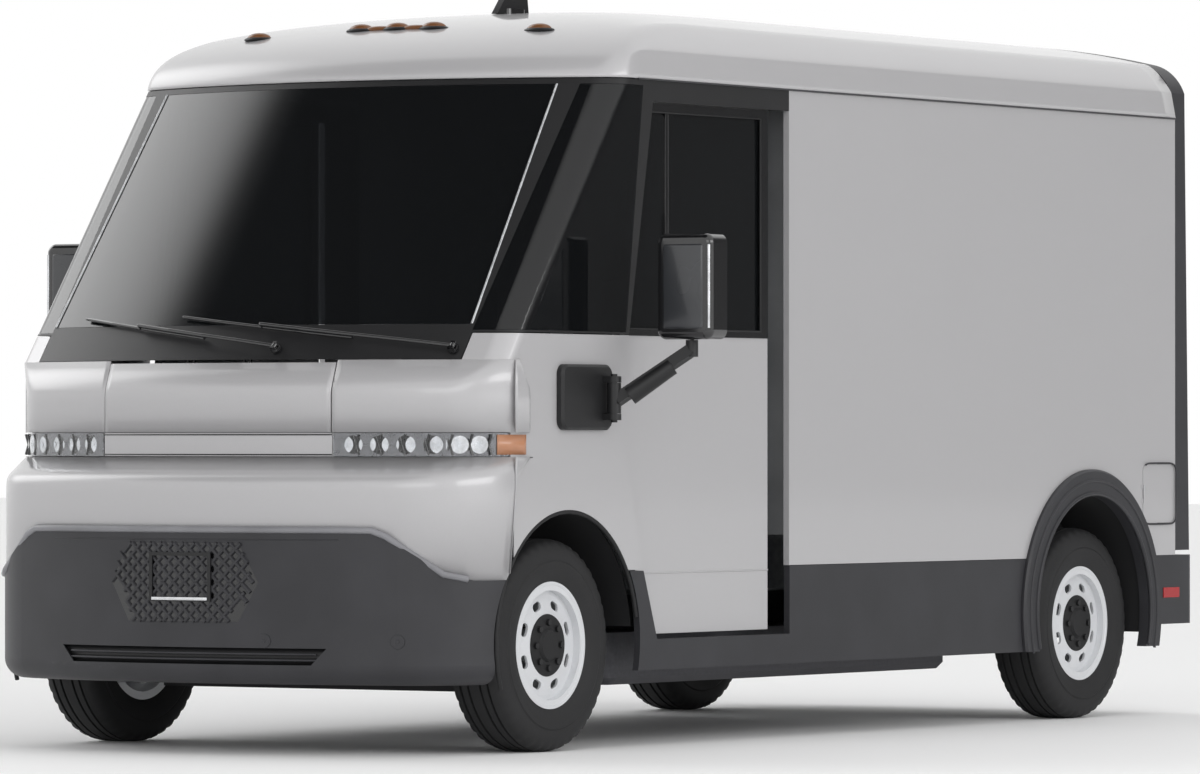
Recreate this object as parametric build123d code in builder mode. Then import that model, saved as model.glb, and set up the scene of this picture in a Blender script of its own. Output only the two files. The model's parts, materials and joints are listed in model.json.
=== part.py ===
"""Electric mail delivery truck: a cab-forward step van on a ladder frame.

Frame: millimetres, +Z up from the road, -Y is the nose, +X is the truck's left side.
The origin lies on the road, midway between nose and tail and between the two sides.
"""

from build123d import *

import math
import os

os.makedirs("parts", exist_ok=True)

# ---------------------------------------------------------------- driving dimensions
wheelbase = 3820.0
front_overhang = 860.0
rear_overhang = 820.0
body_half_width = 1040.0
roof_seam_z = 2367.0
roof_rise = 323.0  # crown of the roof above its seam
belt_z = 1458.0
sill_bottom_z = 274.0
cladding_top_z = 630.0
tyre_radius = 372.0
tyre_width = 225.0
wheel_inset = 165.0  # wheel centre inboard of the body side
skin = 5.0  # painted body panels
glass = 5.0
panel_gap = 4.0  # between neighbouring body panels
run_gap = 0.05  # radial clearance of pins and shafts
clear = 1.0  # between pieces that only come close

# ---------------------------------------------------------------- places along the truck
nose_y = -(front_overhang + wheelbase + rear_overhang) / 2
front_axle_y = nose_y + front_overhang
rear_axle_y = front_axle_y + wheelbase
tail_y = -nose_y
rear_step = 49.0
rear_frame_depth = 117.0
rear_face_y = tail_y - rear_step
cargo_rear_y = rear_face_y - rear_frame_depth
cargo_front_y = front_axle_y + 1494.0
wheel_centre_x = body_half_width - wheel_inset

# ---------------------------------------------------------------- front end tiers
bow = 2200.0  # plan radius of the nose and windshield
bumper_proud = 8.0
bumper_wall = 7.0
fascia_bottom_z = 606.0
bumper_top_z = 785.0
bumper_bottom_z = 245.0
shelf_low_z = 955.0
shelf_high_z = 1030.0
lamp_top_z = 1115.0
hood_break_z = 1260.0
cowl_z = 1366.0
fascia_y = nose_y + bumper_proud
tiers = {
    fascia_bottom_z: (fascia_y, 380.0),
    shelf_low_z: (fascia_y, 380.0),
    shelf_high_z: (fascia_y + 152.0, 290.0),
    hood_break_z: (fascia_y + 152.0, 290.0),
    cowl_z: (fascia_y + 190.0, 120.0),
    roof_seam_z: (fascia_y + 934.0, 150.0),
}
beyond_x = body_half_width + 260.0  # outside everything on the body's flanks
flank_x = (body_half_width - 340.0, beyond_x)
lining_cut_x = (body_half_width - 140.0, body_half_width + 60.0)
rake = (tiers[roof_seam_z][0] - tiers[cowl_z][0]) / (roof_seam_z - cowl_z)
hood_half_width = 485.0
fascia_seam_y = front_axle_y - 347.0
cowl_corner_x = body_half_width - 135.0

# ---------------------------------------------------------------- arches, floors, doors
front_arch_y = front_axle_y + 5.0
front_arch_z = tyre_radius + 13.0
front_arch_radius = tyre_radius + 88.0
rear_arch_y = rear_axle_y - 45.0
rear_arch_z = tyre_radius + 46.0
rear_arch_radius = tyre_radius + 83.0
trim_radius = rear_arch_radius + 101.0
trim_proud = 20.0
liner_wall = 5.0
well_x = wheel_centre_x - 327.0
rear_well_x = wheel_centre_x - 140.0
cab_floor_z = 545.0
cargo_floor_z = 740.0
bulkhead_y = front_axle_y + 1640.0
door_recess = 32.0
door_face_x = body_half_width - door_recess
door_thickness = 34.0
pocket_clearance = 15.0
lining_wall = 4.0
lining_x = door_face_x - door_thickness - pocket_clearance - lining_wall
door_rear_y = front_axle_y + 1394.0
door_low_z = 400.0
door_high_z = 2300.0
opening_low_z = 386.0
opening_high_z = 2290.0

# ---------------------------------------------------------------- running gear
rail_x = well_x - 118.0
rail_width = 80.0
rail_low_z = 400.0
rail_height = 120.0
rail_wall = 6.0
rail_kick = 165.0
battery_half_width = body_half_width - 240.0
battery_low_z = 212.0
battery_front_y = front_axle_y + 640.0
battery_rear_y = front_axle_y + 3080.0
steer_offset = 60.0  # wheel centre outboard of the steering axis
steer_x = wheel_centre_x - steer_offset
spindle_radius = 30.0
pin_radius = 16.0
bead_radius = 200.0
flange_radius = 222.0
rim_half_width = 92.0


def save(part, name):
    """Label a finished piece and write it as its own STEP file."""
    part.label = name
    export_step(part, f"parts/{name}.step")


def save_pair(part, name):
    """Write a left-hand piece and its mirror image."""
    save(part, f"{name}_left")
    save(part.mirror(Plane.YZ), f"{name}_right")


# ---------------------------------------------------------------- shaping helpers
def brick(x, y, z, mode=Mode.ADD):
    """Box between (low, high) pairs along each axis."""
    with Locations((sum(x) / 2, sum(y) / 2, sum(z) / 2)):
        Box(x[1] - x[0], y[1] - y[0], z[1] - z[0], mode=mode)


def side_prism(points, x, mode=Mode.ADD):
    """Prism with a side-view outline of (y, z) points across the range x."""
    with BuildSketch(Plane.YZ.offset(x[0])) as face:
        with BuildLine():
            Polyline(*points, close=True)
        make_face()
    extrude(face.sketch, amount=x[1] - x[0], mode=mode)


def front_prism(points, y, mode=Mode.ADD):
    """Prism with a front-view outline of (x, z) points along the range y."""
    with BuildSketch(Plane.XZ.offset(-y[0])) as face:
        with BuildLine():
            Polyline(*points, close=True)
        make_face()
    extrude(face.sketch, amount=-(y[1] - y[0]), mode=mode)


def rod_x(radius, y, z, x, mode=Mode.ADD):
    """Cylinder lying across the truck over the range x."""
    with BuildSketch(Plane.YZ.offset(x[0])) as face:
        with Locations((y, z)):
            Circle(radius)
    extrude(face.sketch, amount=x[1] - x[0], mode=mode)


def rod_z(radius, x, y, z, mode=Mode.ADD):
    """Upright cylinder over the range z."""
    with BuildSketch(Plane.XY.offset(z[0])) as face:
        with Locations((x, y)):
            Circle(radius)
    extrude(face.sketch, amount=z[1] - z[0], mode=mode)


def bar(start, end, width, height, mode=Mode.ADD):
    """Rectangular bar between two points."""
    direction = Vector(*end) - Vector(*start)
    with BuildSketch(Plane(origin=start, z_dir=direction)) as face:
        Rectangle(width, height)
    extrude(face.sketch, amount=direction.length, mode=mode)


def rod(start, end, radius, mode=Mode.ADD):
    """Round bar between two points."""
    direction = Vector(*end) - Vector(*start)
    with BuildSketch(Plane(origin=start, z_dir=direction)) as face:
        Circle(radius)
    extrude(face.sketch, amount=direction.length, mode=mode)


def bow_depth(x):
    """How far the bowed nose falls back at a distance x from the middle."""
    return bow - math.sqrt(bow**2 - x**2)


def outline(z, inset, back_y):
    """Plan of the cab at one of the tier heights: bowed nose, round corners, straight sides."""
    front, corner = tiers[z]
    front += inset
    half = body_half_width - inset
    corner -= inset
    radius = bow - inset
    centre_y = front + radius
    corner_x = half - corner
    corner_y = centre_y - math.sqrt((radius - corner) ** 2 - corner_x**2)
    reach = radius / (radius - corner)
    bow_end = (corner_x * reach, centre_y + (corner_y - centre_y) * reach)
    turn = math.atan2(bow_end[1] - corner_y, bow_end[0] - corner_x) / 2
    bend = (corner_x + corner * math.cos(turn), corner_y + corner * math.sin(turn))
    with BuildSketch(Plane.XY.offset(z)) as face:
        with BuildLine():
            ThreePointArc((-bow_end[0], bow_end[1]), (0, front), bow_end)
            ThreePointArc(bow_end, bend, (half, corner_y))
            Polyline((half, corner_y), (half, back_y), (-half, back_y), (-half, corner_y))
            ThreePointArc((-half, corner_y), (-bend[0], bend[1]), (-bow_end[0], bow_end[1]))
        make_face()
    return face.sketch.face()


def cab_solid(inset, low_z, high_z, back_y=cargo_front_y, mode=Mode.ADD):
    """Solid inside the cab's outer surface, drawn in by inset, between two tier heights."""
    levels = [z for z in tiers if low_z <= z <= high_z]
    for below, above in zip(levels, levels[1:]):
        loft([outline(below, inset, back_y), outline(above, inset, back_y)], ruled=True, mode=mode)


def cab_skin(low_z, high_z, outer=0.0, wall=skin, back_y=cargo_front_y):
    """Shell that follows the cab's outer surface."""
    cab_solid(outer, low_z, high_z, back_y)
    cab_solid(outer + wall, low_z, high_z, back_y + 50, mode=Mode.SUBTRACT)


def keep(x, y, z):
    """Trim the piece in hand to a box."""
    brick(x, y, z, mode=Mode.INTERSECT)


def front_arch(radius, mode=Mode.SUBTRACT):
    """Round cut of the front wheel openings."""
    rod_x(radius, front_arch_y, front_arch_z, wide, mode=mode)


wide = (-beyond_x, beyond_x)
tall = (0.0, 3200.0)
long = (nose_y - 100, tail_y + 100)
left_half = (0.0, beyond_x)

# front edge of the side door, from bottom to top
door_front = [
    (front_axle_y + 585, opening_low_z),
    (front_axle_y + 500, 616),
    (front_axle_y + 361, 1100),
    (front_axle_y + 398, 1456),
    (front_axle_y + 558, opening_high_z),
]
doorway = door_front + [(cargo_front_y + 1, opening_high_z), (cargo_front_y + 1, opening_low_z)]
doorway_lap = 8.0  # the door reaches this far behind the panels around it

# ================================================================ frame and drive
kick_start_y = rear_axle_y - 780
kick_end_y = rear_axle_y - 520


def rail_outline(inset):
    """Side view of a frame rail with its rise over the rear axle."""
    low = rail_low_z + inset
    high = rail_low_z + rail_height - inset
    start = front_axle_y - 520
    end = cargo_rear_y
    return [
        (start, low),
        (kick_start_y, low),
        (kick_end_y, low + rail_kick),
        (end, low + rail_kick),
        (end, high + rail_kick),
        (kick_end_y, high + rail_kick),
        (kick_start_y, high),
        (start, high),
    ]


with BuildPart() as ladder_frame:
    side_prism(rail_outline(0), (rail_x - rail_width / 2, rail_x + rail_width / 2))
    inner = (rail_x - rail_width / 2 + rail_wall, rail_x + rail_width / 2 - rail_wall)
    side_prism(rail_outline(rail_wall), inner, mode=Mode.SUBTRACT)
    mirror(about=Plane.YZ)
    rail_mid_z = rail_low_z + rail_height / 2
    cross = rail_x - rail_width / 2
    for y in (front_axle_y - 480, front_axle_y + 620, front_axle_y + 1700, rear_axle_y - 860):
        brick((-cross, cross), (y - 30, y + 30), (rail_mid_z - 40, rail_mid_z + 40))
    for y in (rear_axle_y - 420, rear_axle_y + 320, cargo_rear_y - 40):
        brick((-cross, cross), (y - 30, y + 30), (rail_mid_z + rail_kick - 40, rail_mid_z + rail_kick + 40))
save(ladder_frame.part, "ladder_frame")

with BuildPart() as battery_pack:
    with BuildSketch(Plane.XY.offset(battery_low_z)):
        with Locations((0, (battery_front_y + battery_rear_y) / 2)):
            RectangleRounded(2 * battery_half_width, battery_rear_y - battery_front_y, 60)
    extrude(amount=rail_low_z - clear - battery_low_z)
    chamfer(battery_pack.faces().sort_by(Axis.Z)[0].edges(), 25)
save(battery_pack.part, "battery_pack")

drive_rear_y = front_axle_y + 125
with BuildPart() as drive_unit:
    brick((-230, 230), (front_axle_y - 205, drive_rear_y), (315, 565))
    fillet(drive_unit.edges().filter_by(Axis.X), 45)
    brick((-130, 250), (front_axle_y - 190, drive_rear_y - 15), (560, 750))
    rod_x(60, front_axle_y - 20, tyre_radius + 30, (-330, 330))
save(drive_unit.part, "drive_unit")

# ================================================================ floor and wheel wells
firewall_y = drive_rear_y + 40
seat_x = 430.0
seat_y = front_axle_y + 1060
seat_rise = 290.0
riser_half = 200.0
riser_top_z = cab_floor_z + seat_rise
bulkhead_depth = 30.0
deck_rise = 3.0
with BuildPart() as floor:
    brick((-well_x + 12, well_x - 12), (firewall_y, front_axle_y + 500), (cab_floor_z - 6, cab_floor_z))
    brick((-lining_x, lining_x), (front_axle_y + 500, bulkhead_y - 6), (cab_floor_z - 6, cab_floor_z))
    brick((-lining_x, lining_x), (bulkhead_y - 6, bulkhead_y), (cab_floor_z - 6, cargo_floor_z))
    brick((-lining_x, lining_x), (bulkhead_y - 6, cargo_rear_y), (cargo_floor_z - 25, cargo_floor_z))
    # raised deck that the cargo stands on, inside the bulkhead and the lining
    deck = (bulkhead_y + bulkhead_depth + clear, cargo_rear_y - clear)
    brick((clear - lining_x, lining_x - clear), deck, (cargo_floor_z, cargo_floor_z + deck_rise))
    for side in (-1, 1):
        well = sorted((side * (rear_well_x - 8), side * (lining_x + 90)))
        reach = rear_arch_radius + 20
        brick(well, (rear_arch_y - reach, rear_arch_y + reach), (600, 900), mode=Mode.SUBTRACT)
    # firewall between the drive bay and the cab
    brick((-well_x + 12, well_x - 12), (firewall_y - 6, firewall_y), (cab_floor_z - 6, 880))
    brick((55 - body_half_width, body_half_width - 55), (firewall_y - 6, firewall_y), (874, 1340))
    # hollow riser welded under the driver's seat
    riser_x = (seat_x - riser_half, seat_x + riser_half)
    riser_y = (seat_y - 210, seat_y + 210)
    brick(riser_x, riser_y, (cab_floor_z, riser_top_z))
    hollow = (riser_x[0] + 4, riser_x[1] - 4)
    brick(hollow, (riser_y[0] - 5, riser_y[1] - 4), (cab_floor_z, riser_top_z - 4), mode=Mode.SUBTRACT)
save(floor.part, "floor")

liner_outer_x = body_half_width - 30
front_liner_radius = front_arch_radius + 6
rear_liner_radius = rear_arch_radius + 6


def well_shell(y, z, radius, x, low_z):
    """Half-round wheel-well shell in the piece in hand."""
    with BuildSketch(Plane.YZ.offset(x[0])) as ring:
        with Locations((y, z)):
            Circle(radius + liner_wall)
            Circle(radius, mode=Mode.SUBTRACT)
        with Locations((y, low_z - 500)):
            Rectangle(3 * radius, 1000, mode=Mode.SUBTRACT)
    extrude(ring.sketch, amount=x[1] - x[0])


with BuildPart() as wheel_liners:
    well_shell(front_arch_y, front_arch_z, front_liner_radius, (well_x, body_half_width - 40), 430)
    well_shell(rear_arch_y, rear_arch_z, rear_liner_radius, (rear_well_x, liner_outer_x), 330)
    with BuildSketch(Plane.YZ.offset(rear_well_x - liner_wall)):
        with Locations((rear_arch_y, rear_arch_z)):
            Circle(rear_liner_radius + liner_wall)
        with Locations((rear_arch_y, 170)):
            Rectangle(1200, 1060, mode=Mode.SUBTRACT)
    extrude(amount=liner_wall)
    mirror(about=Plane.YZ)
save(wheel_liners.part, "wheel_liners")

# ================================================================ nose
lamp_band = (shelf_high_z, lamp_top_z)
lamp_tail_y = fascia_seam_y - panel_gap / 2
half_gap = panel_gap / 2
with BuildPart() as front_fascia:
    cab_skin(fascia_bottom_z, cowl_z)
    keep(wide, (nose_y - 50, fascia_seam_y - half_gap), tall)
    brick(wide, (nose_y - 50, lamp_tail_y + 10), lamp_band, mode=Mode.SUBTRACT)
    brick((-hood_half_width, hood_half_width), (nose_y - 50, 0), (lamp_top_z - 1, 1400), mode=Mode.SUBTRACT)
    front_arch(front_arch_radius)
save(front_fascia.part, "front_fascia")

hood_hinge_z = cowl_z - 19.0
hood_hinge_y = tiers[cowl_z][0] + 12.0
hood_hinge_x = (-120.0, 120.0)
hood_pin = 4.0
with BuildPart() as hood_panel:
    cab_skin(shelf_high_z, cowl_z)
    reach = hood_half_width - panel_gap
    keep((-reach, reach), (nose_y - 50, 0), (lamp_top_z + half_gap, cowl_z - panel_gap))
    for x in hood_hinge_x:
        brick((x - 8, x + 8), (hood_hinge_y - 14, hood_hinge_y), (hood_hinge_z - 7, hood_hinge_z + 3))
        rod_x(hood_pin + 4, hood_hinge_y, hood_hinge_z, (x - 8, x + 8))
        rod_x(hood_pin + run_gap, hood_hinge_y, hood_hinge_z, (x - 9, x + 9), mode=Mode.SUBTRACT)
save(hood_panel.part, "hood_panel")

lamp_low = shelf_high_z + half_gap
lamp_high = lamp_top_z - half_gap
with BuildPart() as light_bar:
    cab_skin(shelf_high_z, hood_break_z, outer=2, wall=14)
    keep((-hood_half_width, hood_half_width), (nose_y - 50, 0), (lamp_low, lamp_high))
save(light_bar.part, "light_bar")

lamp_start_x = hood_half_width + panel_gap
with BuildPart() as headlight_lenses:
    cab_skin(shelf_high_z, hood_break_z, outer=0.5, wall=4)
    keep((lamp_start_x, beyond_x), (nose_y - 50, lamp_tail_y), (lamp_low, lamp_high))
    mirror(about=Plane.YZ)
save(headlight_lenses.part, "headlight_lenses")

with BuildPart() as headlights:
    cab_skin(shelf_high_z, hood_break_z, outer=5.5, wall=60)
    keep((lamp_start_x, beyond_x), (nose_y - 50, lamp_tail_y), (lamp_low, lamp_high))
    # reflector bowls
    for x in [lamp_start_x + 71 + 90 * bowl_number for bowl_number in range(4)]:
        face_y = tiers[shelf_high_z][0] + bow_depth(x)
        bowl_z = (lamp_low + lamp_high) / 2
        with BuildSketch(Plane.XZ.offset(-(face_y + 42))) as bowl:
            with Locations((x, bowl_z)):
                Circle(32)
        extrude(bowl.sketch, amount=120, mode=Mode.SUBTRACT)
    mirror(about=Plane.YZ)
save(headlights.part, "headlights")

# the bumper stands proud of the fascia and runs under the nose to the wheel openings
kink_x = body_half_width - 328.0
shoulder_x = body_half_width - 40.0
bumper_round = 70.0


def bumper_solid(inset, low_z):
    """Solid inside the bumper's outer surface with a rounded lower edge."""
    tier = outline(fascia_bottom_z, inset, front_axle_y)
    with BuildSketch(Plane.XY.offset(low_z)) as foot:
        add(tier.moved(Location((0, 0, low_z - fascia_bottom_z))))
    solid = extrude(foot.sketch, amount=bumper_top_z - low_z, mode=Mode.PRIVATE)
    edges = solid.faces().sort_by(Axis.Z)[0].edges()
    edges = edges.filter_by(lambda edge: edge.center().Y < front_axle_y - 1)
    return solid.fillet(bumper_round, edges)


bumper_shell = bumper_solid(-bumper_proud, bumper_bottom_z) - bumper_solid(
    bumper_wall - bumper_proud, bumper_bottom_z + bumper_wall
).moved(Location((0, 0, 0.01)))
with BuildPart() as lower_bumper:
    add(bumper_shell)
    for side in (-1, 1):
        shoulder = [
            (side * kink_x, bumper_top_z + 1),
            (side * (kink_x + 30), bumper_top_z - 14),
            (side * (shoulder_x - 40), fascia_bottom_z + 14),
            (side * shoulder_x, fascia_bottom_z),
            (side * beyond_x, fascia_bottom_z),
            (side * beyond_x, bumper_top_z + 1),
        ]
        front_prism(shoulder, (nose_y - 50, front_axle_y + 20), mode=Mode.SUBTRACT)
    front_arch(front_arch_radius + 4)
    brick(wide, (front_axle_y - 300, front_axle_y + 100), tall, mode=Mode.SUBTRACT)
    intake = [(-560, 372), (-505, 314), (505, 314), (560, 372)]
    front_prism(intake, (nose_y - 50, nose_y + 200), mode=Mode.SUBTRACT)
save(lower_bumper.part, "lower_bumper")

# ================================================================ cab body
def windshield_outline(grow):
    """Front view of the windshield, made larger by grow."""
    low, high = 1490.0 - grow, 2344.0 + grow
    low_x, high_x = cowl_corner_x - 21 + grow, cowl_corner_x - 67 + grow
    return [(-low_x, low), (low_x, low), (high_x, high), (-high_x, high)]


def quarter_outline(grow):
    """Side view of the quarter window, made larger by grow."""
    low, high = belt_z + 12 - grow, 2344.0 + grow
    return [
        (front_axle_y - 392 - grow, low),
        (front_axle_y + 268 - grow, high),
        (front_axle_y + 492 + grow, high),
        (front_axle_y + 378 + grow, low),
    ]


frame_wall = 24.0
glass_gap = 1.0
wiper_shaft = 9.0
wiper_x = (240.0, 866.0)
wiper_z = 1400.0


def on_windshield(x, z, stand_off=0.0):
    """Point on the windshield's outer surface, or standing off it."""
    slope = x / math.sqrt(bow**2 - x**2)
    normal = Vector(slope, -1, rake).normalized()
    y = tiers[cowl_z][0] + rake * (z - cowl_z) + bow_depth(x)
    return Vector(x, y, z) + normal * stand_off, normal


with BuildPart() as cab_frame:
    cab_skin(cowl_z, roof_seam_z, wall=frame_wall)
    keep(wide, long, (cowl_z + half_gap, roof_seam_z - half_gap))
    front_prism(windshield_outline(glass_gap), (nose_y, front_axle_y + 300), mode=Mode.SUBTRACT)
    for side in (-1, 1):
        flank = sorted((side * flank_x[0], side * beyond_x))
        side_prism(quarter_outline(glass_gap), flank, mode=Mode.SUBTRACT)
        side_prism(doorway, flank, mode=Mode.SUBTRACT)
        corner = sorted((side * (cowl_corner_x - panel_gap), side * beyond_x))
        brick(corner, long, (cowl_z - 1, belt_z + panel_gap), mode=Mode.SUBTRACT)
    for x in wiper_x:
        foot, normal = on_windshield(x, wiper_z, 5)
        rod(foot, foot - normal * 60, wiper_shaft + run_gap, mode=Mode.SUBTRACT)
    # brackets and pins that carry the hood
    for x in hood_hinge_x:
        for side in (-1, 1):
            ear = sorted((x + side * 9, x + side * 17))
            brick(ear, (hood_hinge_y - 3.5, hood_hinge_y + 22), (hood_hinge_z - 6, hood_hinge_z + 4))
            brick(ear, (hood_hinge_y + 14, hood_hinge_y + 22), (hood_hinge_z - 6, cowl_z + 14))
        rod_x(hood_pin, hood_hinge_y, hood_hinge_z, (x - 17, x + 17))
save(cab_frame.part, "cab_frame")

with BuildPart() as windshield:
    cab_skin(cowl_z, roof_seam_z, outer=1, wall=glass)
    front_prism(windshield_outline(0), (nose_y, front_axle_y + 300), mode=Mode.INTERSECT)
save(windshield.part, "windshield")

with BuildPart() as quarter_windows:
    cab_skin(cowl_z, roof_seam_z, outer=1, wall=glass)
    side_prism(quarter_outline(0), flank_x, mode=Mode.INTERSECT)
    mirror(about=Plane.YZ)
save(quarter_windows.part, "quarter_windows")

with BuildPart() as fender:
    cab_skin(fascia_bottom_z, roof_seam_z)
    keep((cowl_corner_x, beyond_x), (nose_y, cargo_front_y), (fascia_bottom_z, belt_z))
    with BuildSketch(Plane.YZ.offset(flank_x[0])) as behind:
        with BuildLine():
            Polyline(
                (nose_y, cowl_z),
                (fascia_seam_y + half_gap, cowl_z),
                (fascia_seam_y + half_gap, 500),
                (nose_y, 500),
                close=True,
            )
        make_face()
    extrude(behind.sketch, amount=beyond_x - flank_x[0], mode=Mode.SUBTRACT)
    side_prism(doorway, flank_x, mode=Mode.SUBTRACT)
    brick(flank_x, (front_axle_y + 200, 0), (500, cladding_top_z), mode=Mode.SUBTRACT)
    front_arch(front_arch_radius)
save_pair(fender.part, "fender")

# ================================================================ roof
roof_low_z = roof_seam_z + half_gap
shoulder_rise = 224.0
shoulder_half = body_half_width - 161.0
roof_wall = 6.0


def roof_solid(inset, low_z, mode=Mode.ADD):
    """Solid inside the roof's outer surface: a crowned section trimmed to a sloping brow."""
    half = body_half_width - inset
    low = low_z
    shoulder = (shoulder_half - inset / 2, roof_seam_z + shoulder_rise - inset)
    knee = (half - 20, roof_seam_z + 104)
    haunch = (half - 76, roof_seam_z + 184 - inset / 2)
    top_z = roof_seam_z + roof_rise - inset
    with BuildSketch(Plane.XZ.offset(-cargo_rear_y)) as section:
        with BuildLine():
            Polyline((-knee[0], knee[1]), (-half, low), (half, low), knee)
            ThreePointArc(knee, haunch, shoulder)
            ThreePointArc(shoulder, (0, top_z), (-shoulder[0], shoulder[1]))
            ThreePointArc((-shoulder[0], shoulder[1]), (-haunch[0], haunch[1]), (-knee[0], knee[1]))
        make_face()
    extrude(section.sketch, amount=cargo_rear_y - nose_y, mode=mode)


def brow_trim(inset):
    """Cut the front of the roof to its side profile and to the windshield's bow."""
    front = tiers[roof_seam_z][0] + inset
    top_z = roof_seam_z + roof_rise - inset + 50
    with BuildSketch(Plane.YZ.offset(-beyond_x)) as profile:
        with BuildLine():
            brow = Spline(
                (front, roof_seam_z - 20),
                (front + 70, roof_seam_z + 84 - inset),
                (front + 400, roof_seam_z + 200 - inset),
                (front + 1170, roof_seam_z + 293 - inset),
                (front + 1750, roof_seam_z + roof_rise - inset + 1),
            )
            Polyline(brow @ 1, (front + 1750, top_z), (cargo_rear_y + 100, top_z))
            Polyline((cargo_rear_y + 100, top_z), (cargo_rear_y + 100, roof_seam_z - 20), brow @ 0)
        make_face()
    extrude(profile.sketch, amount=2 * beyond_x, mode=Mode.INTERSECT)
    plan = outline(roof_seam_z, inset, cargo_rear_y + 100)
    with BuildSketch(Plane.XY.offset(roof_seam_z - 100)) as foot:
        add(plan.moved(Location((0, 0, -100))))
    extrude(foot.sketch, amount=600, mode=Mode.INTERSECT)


with BuildPart() as roof_outer:
    roof_solid(0, roof_low_z)
    brow_trim(0)
with BuildPart() as roof_inner:
    roof_solid(roof_wall, roof_low_z - 10)
    brow_trim(roof_wall)
with BuildPart() as roof:
    add(roof_outer.part)
    add(roof_inner.part, mode=Mode.SUBTRACT)
    keep(wide, (nose_y, cargo_rear_y - roof_wall), tall)
save(roof.part, "roof")

lamp_row_y = front_axle_y + 480
lamp_pitch = 158.0
outer_lamp_x = body_half_width - 430.0
with BuildPart() as marker_lamps:
    pod_low_z = roof_seam_z + 120
    for x in (-outer_lamp_x, -lamp_pitch, 0, lamp_pitch, outer_lamp_x):
        with BuildSketch(Plane.XY.offset(pod_low_z)) as pod:
            with Locations((x, lamp_row_y)):
                RectangleRounded(106, 58, 24)
        extrude(pod.sketch, amount=104, taper=2)
    fillet(marker_lamps.faces().filter_by(Axis.Z).group_by(Axis.Z)[-1].edges(), 9)
    with BuildSketch(Plane.XY.offset(pod_low_z)) as base:
        with Locations((0, lamp_row_y)):
            RectangleRounded(2 * lamp_pitch + 130, 66, 30)
    extrude(base.sketch, amount=88)
    add(roof_outer.part, mode=Mode.SUBTRACT)
save(marker_lamps.part, "marker_lamps")

antenna_y = front_axle_y + 1240
with BuildPart() as roof_antenna:
    with BuildSketch(Plane.XY.offset(roof_seam_z + 250)):
        with Locations((0, antenna_y)):
            RectangleRounded(56, 130, 27)
    extrude(amount=64, taper=4)
    mast_z = roof_seam_z + 312
    rod((0, antenna_y - 5, mast_z - 6), (0, antenna_y + 32, mast_z + 76), 9)
    add(roof_outer.part, mode=Mode.SUBTRACT)
save(roof_antenna.part, "roof_antenna")

# ================================================================ cargo body
flap_y = (rear_axle_y + 386, rear_axle_y + 644)
flap_z = (760.0, 992.0)
flap_gap = 3.0
flap_mid_z = sum(flap_z) / 2
flap_hinge_x = body_half_width + 3.5
flap_hinge_y = flap_y[0] + 1
flap_knuckle = 20.0  # half the height of the flap's own hinge knuckle
flap_barrel = 3.2
flap_pin = 1.5
flap_leaf = 1.5


def charge_opening(grow, depth, mode):
    """Rounded charge-port outline in the left side, made larger by grow."""
    with BuildSketch(Plane.YZ.offset(depth[0])) as port:
        with Locations((sum(flap_y) / 2, sum(flap_z) / 2)):
            RectangleRounded(flap_y[1] - flap_y[0] + 2 * grow, flap_z[1] - flap_z[0] + 2 * grow, 30 + grow)
    extrude(port.sketch, amount=depth[1] - depth[0], mode=mode)


side_low_z = cladding_top_z + half_gap
with BuildPart() as cargo_side:
    side_x = (body_half_width - skin, body_half_width)
    brick(side_x, (cargo_front_y, cargo_rear_y), (side_low_z, roof_seam_z - half_gap))
    # folded front edge
    lip_x = (body_half_width - 24, body_half_width - skin)
    brick(lip_x, (cargo_front_y, cargo_front_y + 3), (side_low_z, roof_seam_z - half_gap))
    rod_x(trim_radius - 30, rear_arch_y, rear_arch_z, left_half, mode=Mode.SUBTRACT)
cargo_right = cargo_side.part.mirror(Plane.YZ)
with BuildPart() as cargo_left:
    add(cargo_side.part)
    charge_opening(flap_gap, lining_cut_x, Mode.SUBTRACT)
    # pin and two outer knuckles of the flap's hinge
    for end in (-1, 1):
        outer_z = sorted((flap_mid_z + end * (flap_knuckle + 0.5), flap_mid_z + end * (flap_knuckle + 16)))
        rod_z(flap_barrel, flap_hinge_x, flap_hinge_y, outer_z)
        leaf_x = (body_half_width - 1, body_half_width + flap_leaf)
        brick(leaf_x, (flap_hinge_y - 18, flap_hinge_y - 1), outer_z)
    pin_reach = flap_knuckle + 10
    rod_z(flap_pin, flap_hinge_x, flap_hinge_y, (flap_mid_z - pin_reach, flap_mid_z + pin_reach))
save(cargo_left.part, "cargo_side_left")
save(cargo_right, "cargo_side_right")

walkway_half = 330.0
walkway_high_z = 2250.0
with BuildPart() as cargo_lining:
    brick((lining_x, lining_x + lining_wall), (bulkhead_y, cargo_rear_y), (cargo_floor_z - 25, roof_seam_z))
    rod_x(rear_liner_radius + liner_wall + 2, rear_arch_y, rear_arch_z, lining_cut_x, mode=Mode.SUBTRACT)
    mirror(about=Plane.YZ)
    # bulkhead behind the cab with a walkway through it
    brick((-lining_x, lining_x), (bulkhead_y, bulkhead_y + bulkhead_depth), (cargo_floor_z, roof_seam_z + 120))
    walkway = (cargo_floor_z - 1, walkway_high_z)
    brick((-walkway_half, walkway_half), (bulkhead_y - 5, bulkhead_y + bulkhead_depth + 5), walkway, mode=Mode.SUBTRACT)
save(cargo_lining.part, "cargo_lining")

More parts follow.
